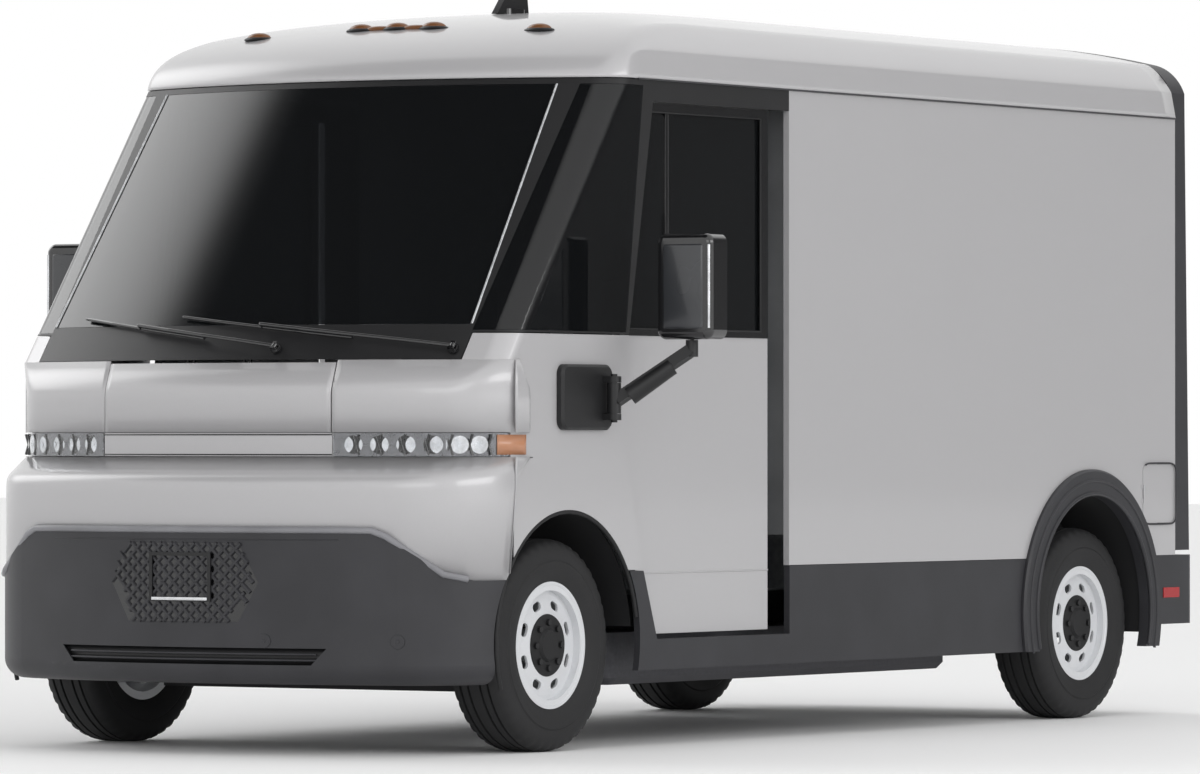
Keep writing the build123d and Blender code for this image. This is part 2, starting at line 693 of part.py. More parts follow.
opening_half = body_half_width - 155.0
rear_door_low_z = 745.0
rear_door_high_z = 2300.0
rear_hinge_x = opening_half + 4
rear_hinge_y = rear_face_y + 14
rear_hinge_z = (900.0, 1520.0, 2140.0)
rear_pin = 7.0
with BuildPart() as tail_section:
    roof_solid(0, 650.0)
    keep(wide, (cargo_rear_y + 1 - 118, cargo_rear_y), tall)
rear_section = tail_section.part.moved(Location((0, rear_frame_depth, 0)))
with BuildPart() as rear_frame:
    add(rear_section)
    keep(wide, (cargo_rear_y + clear, rear_face_y), tall)
    rear_opening = (rear_door_low_z, rear_door_high_z)
    brick((-opening_half, opening_half), long, rear_opening, mode=Mode.SUBTRACT)
    for side in (-1, 1):
        for z in rear_hinge_z:
            rod_z(rear_pin, side * rear_hinge_x, rear_hinge_y, (z - 42, z + 42))
            for ear in ((z - 42, z - 27), (z + 27, z + 42)):
                rod_z(rear_pin + 5, side * rear_hinge_x, rear_hinge_y, ear)
                ear_x = sorted((side * (rear_hinge_x + 2), side * (rear_hinge_x + 12)))
                brick(ear_x, (rear_face_y - 1, rear_hinge_y), ear)
save(rear_frame.part, "rear_frame")

rear_door_gap = 5.0
rear_door_thickness = 42.0
with BuildPart() as rear_door:
    door_y = (rear_face_y - rear_door_thickness, rear_face_y)
    leaf_x = (rear_door_gap / 2, opening_half - rear_door_gap)
    leaf_z = (rear_door_low_z + rear_door_gap, rear_door_high_z - rear_door_gap)
    brick(leaf_x, door_y, leaf_z)
    inside = (leaf_x[0] + 30, leaf_x[1] - 30)
    brick(inside, (door_y[0] - 1, door_y[1] - 4), (leaf_z[0] + 30, leaf_z[1] - 30), mode=Mode.SUBTRACT)
    for z in rear_hinge_z:
        strap_x = (opening_half - 120, rear_hinge_x - 2)
        brick(strap_x, (rear_face_y, rear_face_y + 8), (z - 25, z + 25))
        rod_z(rear_pin + 5, rear_hinge_x, rear_hinge_y, (z - 25, z + 25))
        brick((rear_hinge_x - 12, rear_hinge_x - 2), (rear_face_y, rear_hinge_y), (z - 25, z + 25))
        rod_z(rear_pin + run_gap, rear_hinge_x, rear_hinge_y, (z - 26, z + 26), mode=Mode.SUBTRACT)
save_pair(rear_door.part, "rear_door")

bumper_wing = 28.0
bumper_step = 2.0
with BuildPart() as rear_bumper:
    with BuildSketch(Plane.XY.offset(358)):
        with Locations((0, tail_y - 210)):
            RectangleRounded(2 * (body_half_width + bumper_step), 420, 60)
        with Locations((0, tail_y - 310)):
            Rectangle(2 * (body_half_width + bumper_step - bumper_wing), 420, mode=Mode.SUBTRACT)
        with Locations((0, tail_y - 420)):
            Rectangle(2 * beyond_x, 120, mode=Mode.SUBTRACT)
    extrude(amount=side_low_z - clear - 358)
    rod_x(trim_radius + 4, rear_arch_y, rear_arch_z, wide, mode=Mode.SUBTRACT)
save(rear_bumper.part, "rear_bumper")

lamp_x = (body_half_width - 110.0, body_half_width - 30.0)
with BuildPart() as tail_lamps:
    brick(lamp_x, (rear_face_y, rear_face_y + 14), (1050, 1400))
    fillet(tail_lamps.edges().filter_by(Axis.Y), 14)
    side_lamp = body_half_width + 2
    brick((side_lamp, side_lamp + 3), (rear_axle_y + 548, rear_axle_y + 680), (463, 503))
    mirror(about=Plane.YZ)
save(tail_lamps.part, "tail_lamps")

sill_wall = 22.0
with BuildPart() as side_cladding:
    sill = [
        (front_axle_y + 370, sill_bottom_z),
        (rear_arch_y, sill_bottom_z),
        (rear_arch_y, cladding_top_z),
        (cargo_front_y, cladding_top_z),
        (cargo_front_y, opening_low_z - panel_gap),
        (front_axle_y + 583, opening_low_z - panel_gap),
        (front_axle_y + 496, 616),
        (front_axle_y + 492, cladding_top_z - panel_gap),
        (front_axle_y + 370, cladding_top_z - panel_gap),
    ]
    side_prism(sill, (body_half_width - sill_wall, body_half_width + 2))
    front_arch(front_arch_radius + 4)
    rod_x(trim_radius + 2, rear_arch_y, rear_arch_z, flank_x, mode=Mode.SUBTRACT)
    # trim around the rear wheel opening
    trim_x = (body_half_width + 0.5, body_half_width + trim_proud)
    with BuildSketch(Plane.YZ.offset(trim_x[0])) as trim:
        with Locations((rear_arch_y, rear_arch_z)):
            Circle(trim_radius)
            Circle(rear_arch_radius, mode=Mode.SUBTRACT)
        with Locations((rear_arch_y, sill_bottom_z - 500)):
            Rectangle(1400, 1000, mode=Mode.SUBTRACT)
    extrude(trim.sketch, amount=trim_x[1] - trim_x[0])
    chamfer(side_cladding.faces().sort_by(Axis.X)[-1].edges().filter_by(GeomType.CIRCLE), 8)
    # flange that reaches in to the wheel well
    flange_x = (liner_outer_x + clear, trim_x[0])
    with BuildSketch(Plane.YZ.offset(flange_x[0])) as flange:
        with Locations((rear_arch_y, rear_arch_z)):
            Circle(rear_arch_radius + 12)
            Circle(rear_arch_radius, mode=Mode.SUBTRACT)
        with Locations((rear_arch_y, sill_bottom_z - 500)):
            Rectangle(1400, 1000, mode=Mode.SUBTRACT)
    extrude(flange.sketch, amount=flange_x[1] - flange_x[0])
    mirror(about=Plane.YZ)
save(side_cladding.part, "side_cladding")

with BuildPart() as charge_socket:
    charge_opening(-6, (lining_x + 15, body_half_width - skin - clear), Mode.ADD)
    charge_opening(-10, (lining_x + 19, body_half_width), Mode.SUBTRACT)
    socket_y = sum(flap_y) / 2
    for z, radius in ((905, 38), (830, 26)):
        rod_x(radius, socket_y, z, (lining_x + 18, lining_x + 50))
        rod_x(radius - 6, socket_y, z, (lining_x + 25, lining_x + 55), mode=Mode.SUBTRACT)
save(charge_socket.part, "charge_socket")

with BuildPart() as charge_flap:
    charge_opening(0, (body_half_width - skin, body_half_width), Mode.ADD)
    knuckle_z = (flap_mid_z - flap_knuckle, flap_mid_z + flap_knuckle)
    rod_z(flap_barrel, flap_hinge_x, flap_hinge_y, knuckle_z)
    leaf_x = (body_half_width, body_half_width + flap_leaf)
    brick(leaf_x, (flap_hinge_y, flap_hinge_y + 18), knuckle_z)
    bored_z = (knuckle_z[0] - 1, knuckle_z[1] + 1)
    rod_z(flap_pin + run_gap, flap_hinge_x, flap_hinge_y, bored_z, mode=Mode.SUBTRACT)
save(charge_flap.part, "charge_flap")

# ================================================================ side doors
def door_outline(grow):
    """Side view of a door, larger than its opening by grow at the front and the top."""
    front = [(y - grow, z) for y, z in door_front]
    front[0] = (front[0][0] - 5, door_low_z)
    front[-1] = (front[-1][0] + 5, door_high_z)
    return front + [(door_rear_y, door_high_z), (door_rear_y, door_low_z)]


window_rear_y = door_rear_y - 42
window_high_z = 2268.0


def door_window_outline(grow):
    """Side view of the window in a side door."""
    return [
        (front_axle_y + 398 + 34 - grow, belt_z + 18 - grow),
        (front_axle_y + 558 + 24 - grow, window_high_z + grow),
        (window_rear_y + grow, window_high_z + grow),
        (window_rear_y + grow, belt_z + 18 - grow),
    ]


with BuildPart() as door_panel:
    side_prism(door_outline(doorway_lap), (door_face_x - door_thickness, door_face_x))
    side_prism(door_window_outline(glass_gap), lining_cut_x, mode=Mode.SUBTRACT)
save_pair(door_panel.part, "door_panel")

with BuildPart() as door_window:
    window_x = (door_face_x - 8 - glass, door_face_x - 8)
    side_prism(door_window_outline(0), window_x)
save_pair(door_window.part, "door_window")

# ================================================================ driver's place
wheel_hub = Vector(seat_x, front_axle_y + 590, 1200)
column_tilt = 38.0
column_axis = Vector(0, math.cos(math.radians(column_tilt)), math.sin(math.radians(column_tilt)))
dash_rear_y = front_axle_y + 400
with BuildPart() as dashboard:
    dash = [
        (firewall_y + 1, 1338),
        (firewall_y + 1, 1010),
        (dash_rear_y - 60, 1010),
        (dash_rear_y, 1120),
        (dash_rear_y - 20, 1290),
        (dash_rear_y - 90, 1338),
    ]
    side_prism(dash, (100 - body_half_width, body_half_width - 100))
    brick((seat_x - 190, seat_x + 190), (dash_rear_y - 200, dash_rear_y - 40), (1330, 1400))
    rod(wheel_hub - column_axis * 330, wheel_hub - column_axis * 34, 30)
    rod(wheel_hub - column_axis * 60, wheel_hub - column_axis * 4, 10)
save(dashboard.part, "dashboard")

grip_radius = 14.0
wheel_radius = 205.0
with BuildPart() as steering_wheel:
    hand_plane = Plane(origin=wheel_hub, x_dir=(1, 0, 0), z_dir=column_axis)
    section = Plane(origin=wheel_hub, x_dir=(1, 0, 0), z_dir=column_axis.cross(Vector(1, 0, 0)))
    with BuildSketch(section):
        with Locations((wheel_radius, 0)):
            Circle(grip_radius)
    revolve(axis=Axis(wheel_hub, column_axis))
    with BuildSketch(hand_plane.offset(-30)):
        Circle(52)
    extrude(amount=34)
    for x in (-1, 1):
        bar(wheel_hub + Vector(x * 40, 0, 0), wheel_hub + Vector(x * wheel_radius, 0, 0), 30, 12)
    down = column_axis.cross(Vector(1, 0, 0))
    down = down if down.Z < 0 else down * -1
    bar(wheel_hub + down * 40, wheel_hub + down * wheel_radius, 30, 12)
    rod(wheel_hub - column_axis * 31, wheel_hub - column_axis * 3.5, 10 + run_gap, mode=Mode.SUBTRACT)
save(steering_wheel.part, "steering_wheel")

pan_z = riser_top_z + 0.5
recline = math.radians(12)
back_low = Vector(seat_x, seat_y + 232, pan_z + 90)
back_up = Vector(0, math.sin(recline), math.cos(recline))
back_plane = Plane(origin=back_low, x_dir=(1, 0, 0), z_dir=back_up)
with BuildPart() as seat_frame:
    brick((seat_x - 225, seat_x + 225), (seat_y - 225, seat_y + 235), (pan_z, pan_z + 20))
    with BuildSketch(back_plane.offset(-86)) as shell:
        Rectangle(400, 14)
    extrude(shell.sketch, amount=646)
save(seat_frame.part, "seat_frame")

with BuildPart() as seat_cushion:
    brick((seat_x - 250, seat_x + 250), (seat_y - 285, seat_y + 120), (pan_z + 21, pan_z + 131))
    fillet(seat_cushion.edges(), 30)
save(seat_cushion.part, "seat_cushion")

with BuildPart() as seat_back:
    with BuildSketch(back_plane.offset(50)):
        with Locations((0, -62)):
            RectangleRounded(480, 104, 30)
    extrude(amount=560)
    fillet(seat_back.faces().sort_by(Axis.Z)[-1].edges(), 28)
    with BuildSketch(back_plane.offset(600)):
        with Locations((0, -58)):
            RectangleRounded(260, 88, 30)
    extrude(amount=190)
    fillet(seat_back.faces().sort_by(Axis.Z)[-1].edges(), 24)
save(seat_back.part, "seat_back")

# ================================================================ wipers
wiper_tip = ((-700.0, 1512.0), (-205.0, 1512.0))
wiper_names = ("right", "left")
arm_standoff = 30.0
blade_standoff = 12.0
lift_height = 26.0  # of the lifting pin above the glass
lift_pin = 5.0
lift_barrel = 9.0
fork_half = 8.0  # half the gap between the fork's ears
for side, x, (tip_x, tip_z) in zip(wiper_names, wiper_x, wiper_tip):
    foot, normal = on_windshield(x, wiper_z)
    tip, _ = on_windshield(tip_x, tip_z)
    toward_tip = (tip - foot).normalized()
    across = toward_tip.cross(normal).normalized()
    fork_plane = Plane(origin=foot + normal * lift_height, x_dir=toward_tip, z_dir=across)
    reach = [t / 6 for t in range(7)]
    arm_points = [on_windshield(x + (tip_x - x) * t, wiper_z + (tip_z - wiper_z) * t) for t in reach]
    with BuildPart() as spindle:
        rod(foot - normal * 40, foot + normal * 12, wiper_shaft)
        rod(foot + normal * 2, foot + normal * 14, 20)
        # fork with the pin that the arm lifts on
        with BuildSketch(fork_plane) as ear:
            with Locations((0, -4)):
                Rectangle(18, 24)
        extrude(ear.sketch, amount=fork_half + 6, both=True)
        with BuildSketch(fork_plane) as slot:
            with Locations((0, 1)):
                Rectangle(30, 26)
        extrude(slot.sketch, amount=fork_half, both=True, mode=Mode.SUBTRACT)
        rod(foot + normal * lift_height - across * 14, foot + normal * lift_height + across * 14, lift_pin)
    save(spindle.part, f"wiper_spindle_{side}")

    with BuildPart() as arm:
        hub = fork_plane.origin
        rod(hub - across * (fork_half - 1), hub + across * (fork_half - 1), lift_barrel)
        lifted = [point + along * arm_standoff for point, along in arm_points[:5]]
        lifted[0] = hub + toward_tip * 2
        for start, end in zip(lifted, lifted[1:]):
            rod(start, end, 6.5)
            with Locations(end):
                Sphere(6.5)
        low = [point + along * blade_standoff for point, along in arm_points[2:]]
        for start, end in zip(low, low[1:]):
            rod(start, end, 6)
            with Locations(end):
                Sphere(6)
        rod(low[2], lifted[4], 6)
        rod(hub - across * fork_half, hub + across * fork_half, lift_pin + run_gap, mode=Mode.SUBTRACT)
    save(arm.part, f"wiper_arm_{side}")

# ================================================================ mirrors
mirror_base_y = (front_axle_y - 74, front_axle_y + 253)
mirror_base_z = (1123.0, 1353.0)
fold_pin = 12.0
fold_x = body_half_width + 58
fold_y = mirror_base_y[1] - 45
head_pin_x = body_half_width + 290.0
head_pin_y = front_axle_y + 352
head_low_z = 1440.0
with BuildPart() as mirror_bases:
    base_x = (body_half_width + 0.5, body_half_width + 28)
    brick(base_x, mirror_base_y, mirror_base_z)
    fillet(mirror_bases.edges().filter_by(Axis.X), 36)
    chamfer(mirror_bases.faces().sort_by(Axis.X)[-1].edges(), 9)
    # two ears hold the folding pin
    for z in (1158, 1290):
        rod_z(26, fold_x, fold_y, (z, z + 22))
        brick((base_x[1] - 4, fold_x), (fold_y - 26, fold_y + 26), (z, z + 22))
    rod_z(fold_pin, fold_x, fold_y, (1150, 1320))
    mirror(about=Plane.YZ)
save(mirror_bases.part, "mirror_bases")

with BuildPart() as mirror_arm:
    rod_z(25, fold_x, fold_y, (1181, 1289))
    bar((fold_x + 10, fold_y + 3, 1228), (head_pin_x, head_pin_y, 1405), 40, 40)
    rod_z(22, head_pin_x, head_pin_y, (1380, head_low_z - 1))
    rod_z(8, head_pin_x, head_pin_y, (head_low_z - 2, head_low_z + 60))
    rod_z(fold_pin + run_gap, fold_x, fold_y, (1180, 1290), mode=Mode.SUBTRACT)
save_pair(mirror_arm.part, "mirror_arm")

with BuildPart() as mirror_head:
    brick((head_pin_x - 116, head_pin_x + 113), (head_pin_y - 58, head_pin_y + 52), (head_low_z, 1812))
    fillet(mirror_head.edges().filter_by(Axis.Y), 34)
    fillet(mirror_head.faces().sort_by(Axis.Y)[0].edges(), 26)
    glass_x = (head_pin_x - 100, head_pin_x + 97)
    brick(glass_x, (head_pin_y + 42, head_pin_y + 60), (1456, 1796), mode=Mode.SUBTRACT)
    rod_z(8 + run_gap, head_pin_x, head_pin_y, (head_low_z - 1, head_low_z + 61), mode=Mode.SUBTRACT)
save_pair(mirror_head.part, "mirror_head")

# ================================================================ suspension, steering, wheels
strut_x = steer_x - 165.0
arm_low_z = tyre_radius - 128
arm_high_z = tyre_radius + 116
eye_height = 12.0
beam_z = (tyre_radius - 167, tyre_radius - 132)
with BuildPart() as front_axle:
    rod_z(34, strut_x, front_axle_y, (beam_z[0], tyre_radius + 268))
    rod_z(18, strut_x, front_axle_y, (tyre_radius + 258, tyre_radius + 398))
    for z in (arm_low_z, arm_high_z):
        brick((strut_x, steer_x), (front_axle_y - 22, front_axle_y + 22), (z, z + eye_height))
        rod_z(24, steer_x, front_axle_y, (z, z + eye_height))
        rod_z(pin_radius + run_gap, steer_x, front_axle_y, (z - 1, z + eye_height + 1), mode=Mode.SUBTRACT)
    brick((0, strut_x), (front_axle_y - 40, front_axle_y + 40), beam_z)
    mirror(about=Plane.YZ)
save(front_axle.part, "front_axle")

hub_face_x = wheel_centre_x + 55
with BuildPart() as knuckle:
    rod_z(pin_radius, steer_x, front_axle_y, (arm_low_z - 4, arm_high_z + eye_height + 4))
    rod_z(30, steer_x, front_axle_y, (arm_low_z + eye_height + 1, arm_high_z - 1))
    rod_x(62, front_axle_y, tyre_radius, (steer_x - 24, steer_x + 34))
    rod_x(spindle_radius, front_axle_y, tyre_radius, (steer_x, hub_face_x))
save_pair(knuckle.part, "knuckle")

with BuildPart() as rear_axle:
    rod_x(48, rear_axle_y, tyre_radius, (-735, 735))
    rod_x(spindle_radius, rear_axle_y, tyre_radius, (-hub_face_x, hub_face_x))
    for side in (-1, 1):
        spring_x = (side * rail_x - 38, side * rail_x + 38)
        brick(spring_x, (rear_axle_y - 60, rear_axle_y + 60), (tyre_radius - 70, tyre_radius + 62))
        brick(spring_x, (rear_axle_y - 480, rear_axle_y + 420), (tyre_radius - 94, tyre_radius - 71))
save(rear_axle.part, "rear_axle")

disc_x = wheel_centre_x + 60
hand_hole_ring = 146.0
hub_bore = spindle_radius + run_gap


def wheel_plane(x, y):
    """Side-view plane through the outer side of a left wheel."""
    return Plane(origin=(x, y, tyre_radius), x_dir=(0, 1, 0), z_dir=(1, 0, 0))


def revolve_about_axle(points, y):
    """Ring turned about an axle from (x, radius) points."""
    with BuildSketch(Plane(origin=(0, y, tyre_radius), x_dir=(1, 0, 0), z_dir=(0, -1, 0))) as section:
        with BuildLine():
            Polyline(*points, close=True)
        make_face()
    revolve(section.sketch, axis=Axis((0, y, tyre_radius), (1, 0, 0)))


for place, y in (("front", front_axle_y), ("rear", rear_axle_y)):
    inner_x = wheel_centre_x - rim_half_width
    outer_x = wheel_centre_x + rim_half_width
    with BuildPart() as rim:
        barrel = [
            (inner_x, bead_radius - 8),
            (inner_x, flange_radius),
            (inner_x + 5, flange_radius),
            (inner_x + 5, bead_radius),
            (outer_x - 5, bead_radius),
            (outer_x - 5, flange_radius),
            (outer_x, flange_radius),
            (outer_x, bead_radius - 8),
            (disc_x + 6, bead_radius - 8),
            (disc_x + 6, bead_radius - 22),
            (disc_x + 18, 110),
            (disc_x + 2, 92),
            (disc_x + 2, hub_bore),
            (disc_x - 8, hub_bore),
            (disc_x - 8, 96),
            (disc_x + 8, 114),
            (disc_x - 4, bead_radius - 22),
            (disc_x - 4, bead_radius - 8),
        ]
        revolve_about_axle(barrel, y)
        with BuildSketch(wheel_plane(disc_x - 30, y)) as holes:
            with PolarLocations(hand_hole_ring, 8, start_angle=22.5):
                SlotOverall(50, 30, rotation=90)
        extrude(holes.sketch, amount=60, mode=Mode.SUBTRACT)
        # wheel nuts and the hub that turns on the spindle
        with BuildSketch(wheel_plane(disc_x + 2, y)) as nuts:
            with PolarLocations(72, 6):
                RegularPolygon(12, 6)
        extrude(nuts.sketch, amount=16)
        hub = [
            (wheel_centre_x - 25, hub_bore),
            (wheel_centre_x - 25, 58),
            (disc_x - 8, 58),
            (disc_x - 8, hub_bore),
        ]
        revolve_about_axle(hub, y)
        cap = [(hub_face_x + 8, 0.0), (hub_face_x + 8, 54), (disc_x + 26, 46), (disc_x + 30, 0.0)]
        revolve_about_axle(cap, y)
    save_pair(rim.part, f"rim_{place}")

    half = tyre_width / 2
    bead = bead_radius + 0.3
    sidewall = tyre_radius - flange_radius
    with BuildPart() as tyre:
        section = [
            (wheel_centre_x - 84, bead),
            (wheel_centre_x - 84, flange_radius + 8),
            (wheel_centre_x - 104, flange_radius + 0.227 * sidewall),
            (wheel_centre_x - half, flange_radius + 0.467 * sidewall),
            (wheel_centre_x - half + 3, flange_radius + 0.667 * sidewall),
            (wheel_centre_x - half + 16, tyre_radius - 16),
            (wheel_centre_x - 78, tyre_radius - 4),
            (wheel_centre_x - 60, tyre_radius),
        ]
        section += [(2 * wheel_centre_x - x, r) for x, r in reversed(section)]
        cavity = [
            (wheel_centre_x + 64, bead),
            (wheel_centre_x + 64, flange_radius + 0.093 * sidewall),
            (wheel_centre_x + half - 20, flange_radius + 0.267 * sidewall),
            (wheel_centre_x + half - 13, flange_radius + 0.467 * sidewall),
            (wheel_centre_x + half - 24, flange_radius + 0.773 * sidewall),
            (wheel_centre_x + 60, tyre_radius - 20),
        ]
        cavity += [(2 * wheel_centre_x - x, r) for x, r in reversed(cavity)]
        revolve_about_axle(section + cavity, y)
    save_pair(tyre.part, f"tyre_{place}")
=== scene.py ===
"""Looks of the electric mail delivery truck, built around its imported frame."""

import json
import math

import bmesh
import bpy
from mathutils import Matrix, Vector


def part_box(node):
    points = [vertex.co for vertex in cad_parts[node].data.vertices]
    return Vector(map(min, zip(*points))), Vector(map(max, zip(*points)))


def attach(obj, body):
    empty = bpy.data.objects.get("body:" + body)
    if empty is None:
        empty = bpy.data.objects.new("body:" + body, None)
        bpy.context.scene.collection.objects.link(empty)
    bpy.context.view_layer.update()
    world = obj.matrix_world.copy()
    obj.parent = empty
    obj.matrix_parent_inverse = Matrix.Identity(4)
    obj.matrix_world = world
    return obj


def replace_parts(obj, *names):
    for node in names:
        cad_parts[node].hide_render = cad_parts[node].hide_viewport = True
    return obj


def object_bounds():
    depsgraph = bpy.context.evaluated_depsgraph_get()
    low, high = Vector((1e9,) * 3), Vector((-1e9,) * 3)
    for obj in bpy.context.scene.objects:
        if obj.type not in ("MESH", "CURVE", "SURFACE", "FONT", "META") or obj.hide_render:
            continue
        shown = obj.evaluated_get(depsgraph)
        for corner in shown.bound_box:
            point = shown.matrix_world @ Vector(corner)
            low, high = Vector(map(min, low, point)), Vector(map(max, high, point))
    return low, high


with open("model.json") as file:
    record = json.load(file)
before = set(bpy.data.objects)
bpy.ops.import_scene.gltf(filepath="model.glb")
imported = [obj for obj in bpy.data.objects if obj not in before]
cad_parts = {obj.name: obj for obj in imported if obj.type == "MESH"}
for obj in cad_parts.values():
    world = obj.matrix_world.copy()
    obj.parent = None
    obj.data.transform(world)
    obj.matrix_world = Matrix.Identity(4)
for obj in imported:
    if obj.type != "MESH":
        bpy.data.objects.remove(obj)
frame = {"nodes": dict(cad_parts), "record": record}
nodes = frame["nodes"]
cad_box = [list(corner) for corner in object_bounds()]
scene = bpy.context.scene

# ---------------------------------------------------------------- places read from the frame
nose_y = cad_box[0][1]
tail_y = cad_box[1][1]
front_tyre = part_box("tyre_front_left")
rear_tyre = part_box("tyre_rear_left")
tyre_radius = (front_tyre[1].z - front_tyre[0].z) / 2
front_axle_y = (front_tyre[0].y + front_tyre[1].y) / 2
rear_axle_y = (rear_tyre[0].y + rear_tyre[1].y) / 2
body_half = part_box("cargo_side_left")[1].x


# ================================================================ materials
def new_material(name, colour, roughness=0.4, metallic=0.0, **inputs):
    """A Principled material; extra inputs are socket names with spaces as underscores."""
    material = bpy.data.materials.new(name)
    material.use_nodes = True
    shader = material.node_tree.nodes["Principled BSDF"]
    shader.inputs["Base Color"].default_value = (*colour, 1)
    shader.inputs["Roughness"].default_value = roughness
    shader.inputs["Metallic"].default_value = metallic
    for key, value in inputs.items():
        shader.inputs[key.replace("_", " ")].default_value = value
    return material


def add_noise(material, scale, detail=3.0, stretch=(1, 1, 1)):
    """Noise on object coordinates; returns its output socket."""
    tree = material.node_tree
    place = tree.nodes.new("ShaderNodeTexCoord")
    mapping = tree.nodes.new("ShaderNodeMapping")
    mapping.inputs["Scale"].default_value = stretch
    noise = tree.nodes.new("ShaderNodeTexNoise")
    noise.inputs["Scale"].default_value = scale
    noise.inputs["Detail"].default_value = detail
    tree.links.new(place.outputs["Object"], mapping.inputs["Vector"])
    tree.links.new(mapping.outputs["Vector"], noise.inputs["Vector"])
    return noise.outputs["Fac"]


def spread(material, fac, low, high):
    """Map a 0-1 factor to a range of numbers."""
    node = material.node_tree.nodes.new("ShaderNodeMapRange")
    node.inputs["To Min"].default_value = low
    node.inputs["To Max"].default_value = high
    material.node_tree.links.new(fac, node.inputs["Value"])
    return node.outputs["Result"]


def tint(material, fac, low, high):
    """Vary the base colour between two colours."""
    tree = material.node_tree
    ramp = tree.nodes.new("ShaderNodeValToRGB")
    ramp.color_ramp.elements[0].position = 0.3
    ramp.color_ramp.elements[1].position = 0.7
    ramp.color_ramp.elements[0].color = (*low, 1)
    ramp.color_ramp.elements[1].color = (*high, 1)
    tree.links.new(fac, ramp.inputs["Fac"])
    tree.links.new(ramp.outputs["Color"], tree.nodes["Principled BSDF"].inputs["Base Color"])


def vary_roughness(material, fac, low, high):
    """Vary the roughness over the surface."""
    shader = material.node_tree.nodes["Principled BSDF"]
    material.node_tree.links.new(spread(material, fac, low, high), shader.inputs["Roughness"])


def bump(material, fac, strength, distance):
    """Raise the surface by a height pattern."""
    tree = material.node_tree
    node = tree.nodes.new("ShaderNodeBump")
    node.inputs["Strength"].default_value = strength
    node.inputs["Distance"].default_value = distance
    tree.links.new(fac, node.inputs["Height"])
    tree.links.new(node.outputs["Normal"], tree.nodes["Principled BSDF"].inputs["Normal"])


def dim(colour, share):
    """The same colour, darker or lighter."""
    return tuple(min(1.0, c * share) for c in colour)


def painted(name, colour, metallic=0.0, roughness=0.32, coat=0.7):
    """Sprayed paint with fine flake, soft orange peel and a clear coat."""
    material = new_material(
        name, colour, roughness, metallic, Coat_Weight=coat, Coat_Roughness=0.06, Specular_IOR_Level=0.5
    )
    flake = add_noise(material, 900, 1)
    tint(material, flake, dim(colour, 0.94), dim(colour, 1.04))
    vary_roughness(material, add_noise(material, 3, 2), roughness - 0.04, roughness + 0.05)
    bump(material, add_noise(material, 140, 1), 0.03, 0.0004)
    return material


def moulded(name, colour, roughness=0.55, grain=700.0, depth=0.0005):
    """Grained moulded plastic."""
    material = new_material(name, colour, roughness, Specular_IOR_Level=0.4)
    pebble = add_noise(material, grain, 4)
    tint(material, add_noise(material, 5, 3), dim(colour, 0.88), dim(colour, 1.12))
    vary_roughness(material, pebble, roughness - 0.1, roughness + 0.1)
    bump(material, pebble, 0.35, depth)
    return material


def metal(name, colour, roughness=0.4, metallic=1.0, grain=60.0):
    """Worked metal with uneven sheen."""
    material = new_material(name, colour, roughness, metallic)
    uneven = add_noise(material, grain, 4)
    tint(material, uneven, dim(colour, 0.8), dim(colour, 1.1))
    vary_roughness(material, uneven, roughness - 0.1, roughness + 0.12)
    bump(material, add_noise(material, grain * 6, 2), 0.1, 0.0003)
    return material


def woven(name, colour, pitch=0.0022):
    """Plain-woven seat cloth with uneven yarn and a soft sheen."""
    material = new_material(name, colour, 0.88, Sheen_Weight=0.35, Specular_IOR_Level=0.25)
    tree = material.node_tree
    place = tree.nodes.new("ShaderNodeTexCoord")
    threads = []
    for direction in ("X", "Z"):
        wave = tree.nodes.new("ShaderNodeTexWave")
        wave.bands_direction = direction
        wave.inputs["Scale"].default_value = 1 / (pitch * 20)
        wave.inputs["Distortion"].default_value = 0.6
        tree.links.new(place.outputs["Object"], wave.inputs["Vector"])
        threads.append(wave.outputs["Fac"])
    weave = tree.nodes.new("ShaderNodeMath")
    weave.operation = "MULTIPLY"
    tree.links.new(threads[0], weave.inputs[0])
    tree.links.new(threads[1], weave.inputs[1])
    tint(material, add_noise(material, 60, 4), dim(colour, 0.75), dim(colour, 1.3))
    bump(material, weave.outputs["Value"], 0.5, 0.0008)
    return material


def clear(name, colour, roughness=0.02, transmission=1.0, ior=1.5):
    """Glass or clear plastic, a little uneven."""
    material = new_material(name, colour, roughness, Transmission_Weight=transmission, IOR=ior)
    smear = add_noise(material, 4, 2)
    vary_roughness(material, smear, roughness, roughness + 0.03)
    bump(material, add_noise(material, 1.5, 1), 0.01, 0.0005)
    return material


SILVER = (0.45, 0.445, 0.455)
body_paint = painted("body_paint", SILVER, 0.12, 0.34)
cladding = moulded("cladding", (0.030, 0.030, 0.034), 0.45)
# lighter grey than the cladding: a painted highlight along the bumper's rounded top lip
painted_highlight_lip = moulded("painted_highlight_lip", (0.22, 0.22, 0.235), 0.34)
gloss_black = painted("gloss_black", (0.006, 0.006, 0.007), 0, 0.14, 0.9)
satin_black = moulded("satin_black", (0.012, 0.012, 0.013), 0.42, 500)
cover_grey = painted("cover_grey", (0.030, 0.032, 0.036), 0, 0.26, 0.6)
rubber_seal = moulded("rubber_seal", (0.009, 0.009, 0.010), 0.6, 900)
dark_glass = clear("dark_glass", (0.035, 0.038, 0.042), 0.02, 0.85)
lamp_clear = clear("lamp_clear", (0.95, 0.96, 0.97), 0.01)
chrome_bowl = metal("chrome_bowl", (0.75, 0.76, 0.78), 0.16, 1, 30)
dark_bowl = metal("dark_bowl", (0.20, 0.20, 0.21), 0.28, 0.9, 30)
# bright metal for beads put where only edge highlights show: painted highlights on the windshield edges, the
# door tops and the mirror edges
painted_highlight_trim = metal("painted_highlight_trim", (0.72, 0.73, 0.75), 0.26, 1, 20)
mirror_silver = metal("mirror_silver", (0.82, 0.83, 0.84), 0.10, 1, 3)
lamp_amber = clear("lamp_amber", (0.62, 0.30, 0.17), 0.1, 0.3)
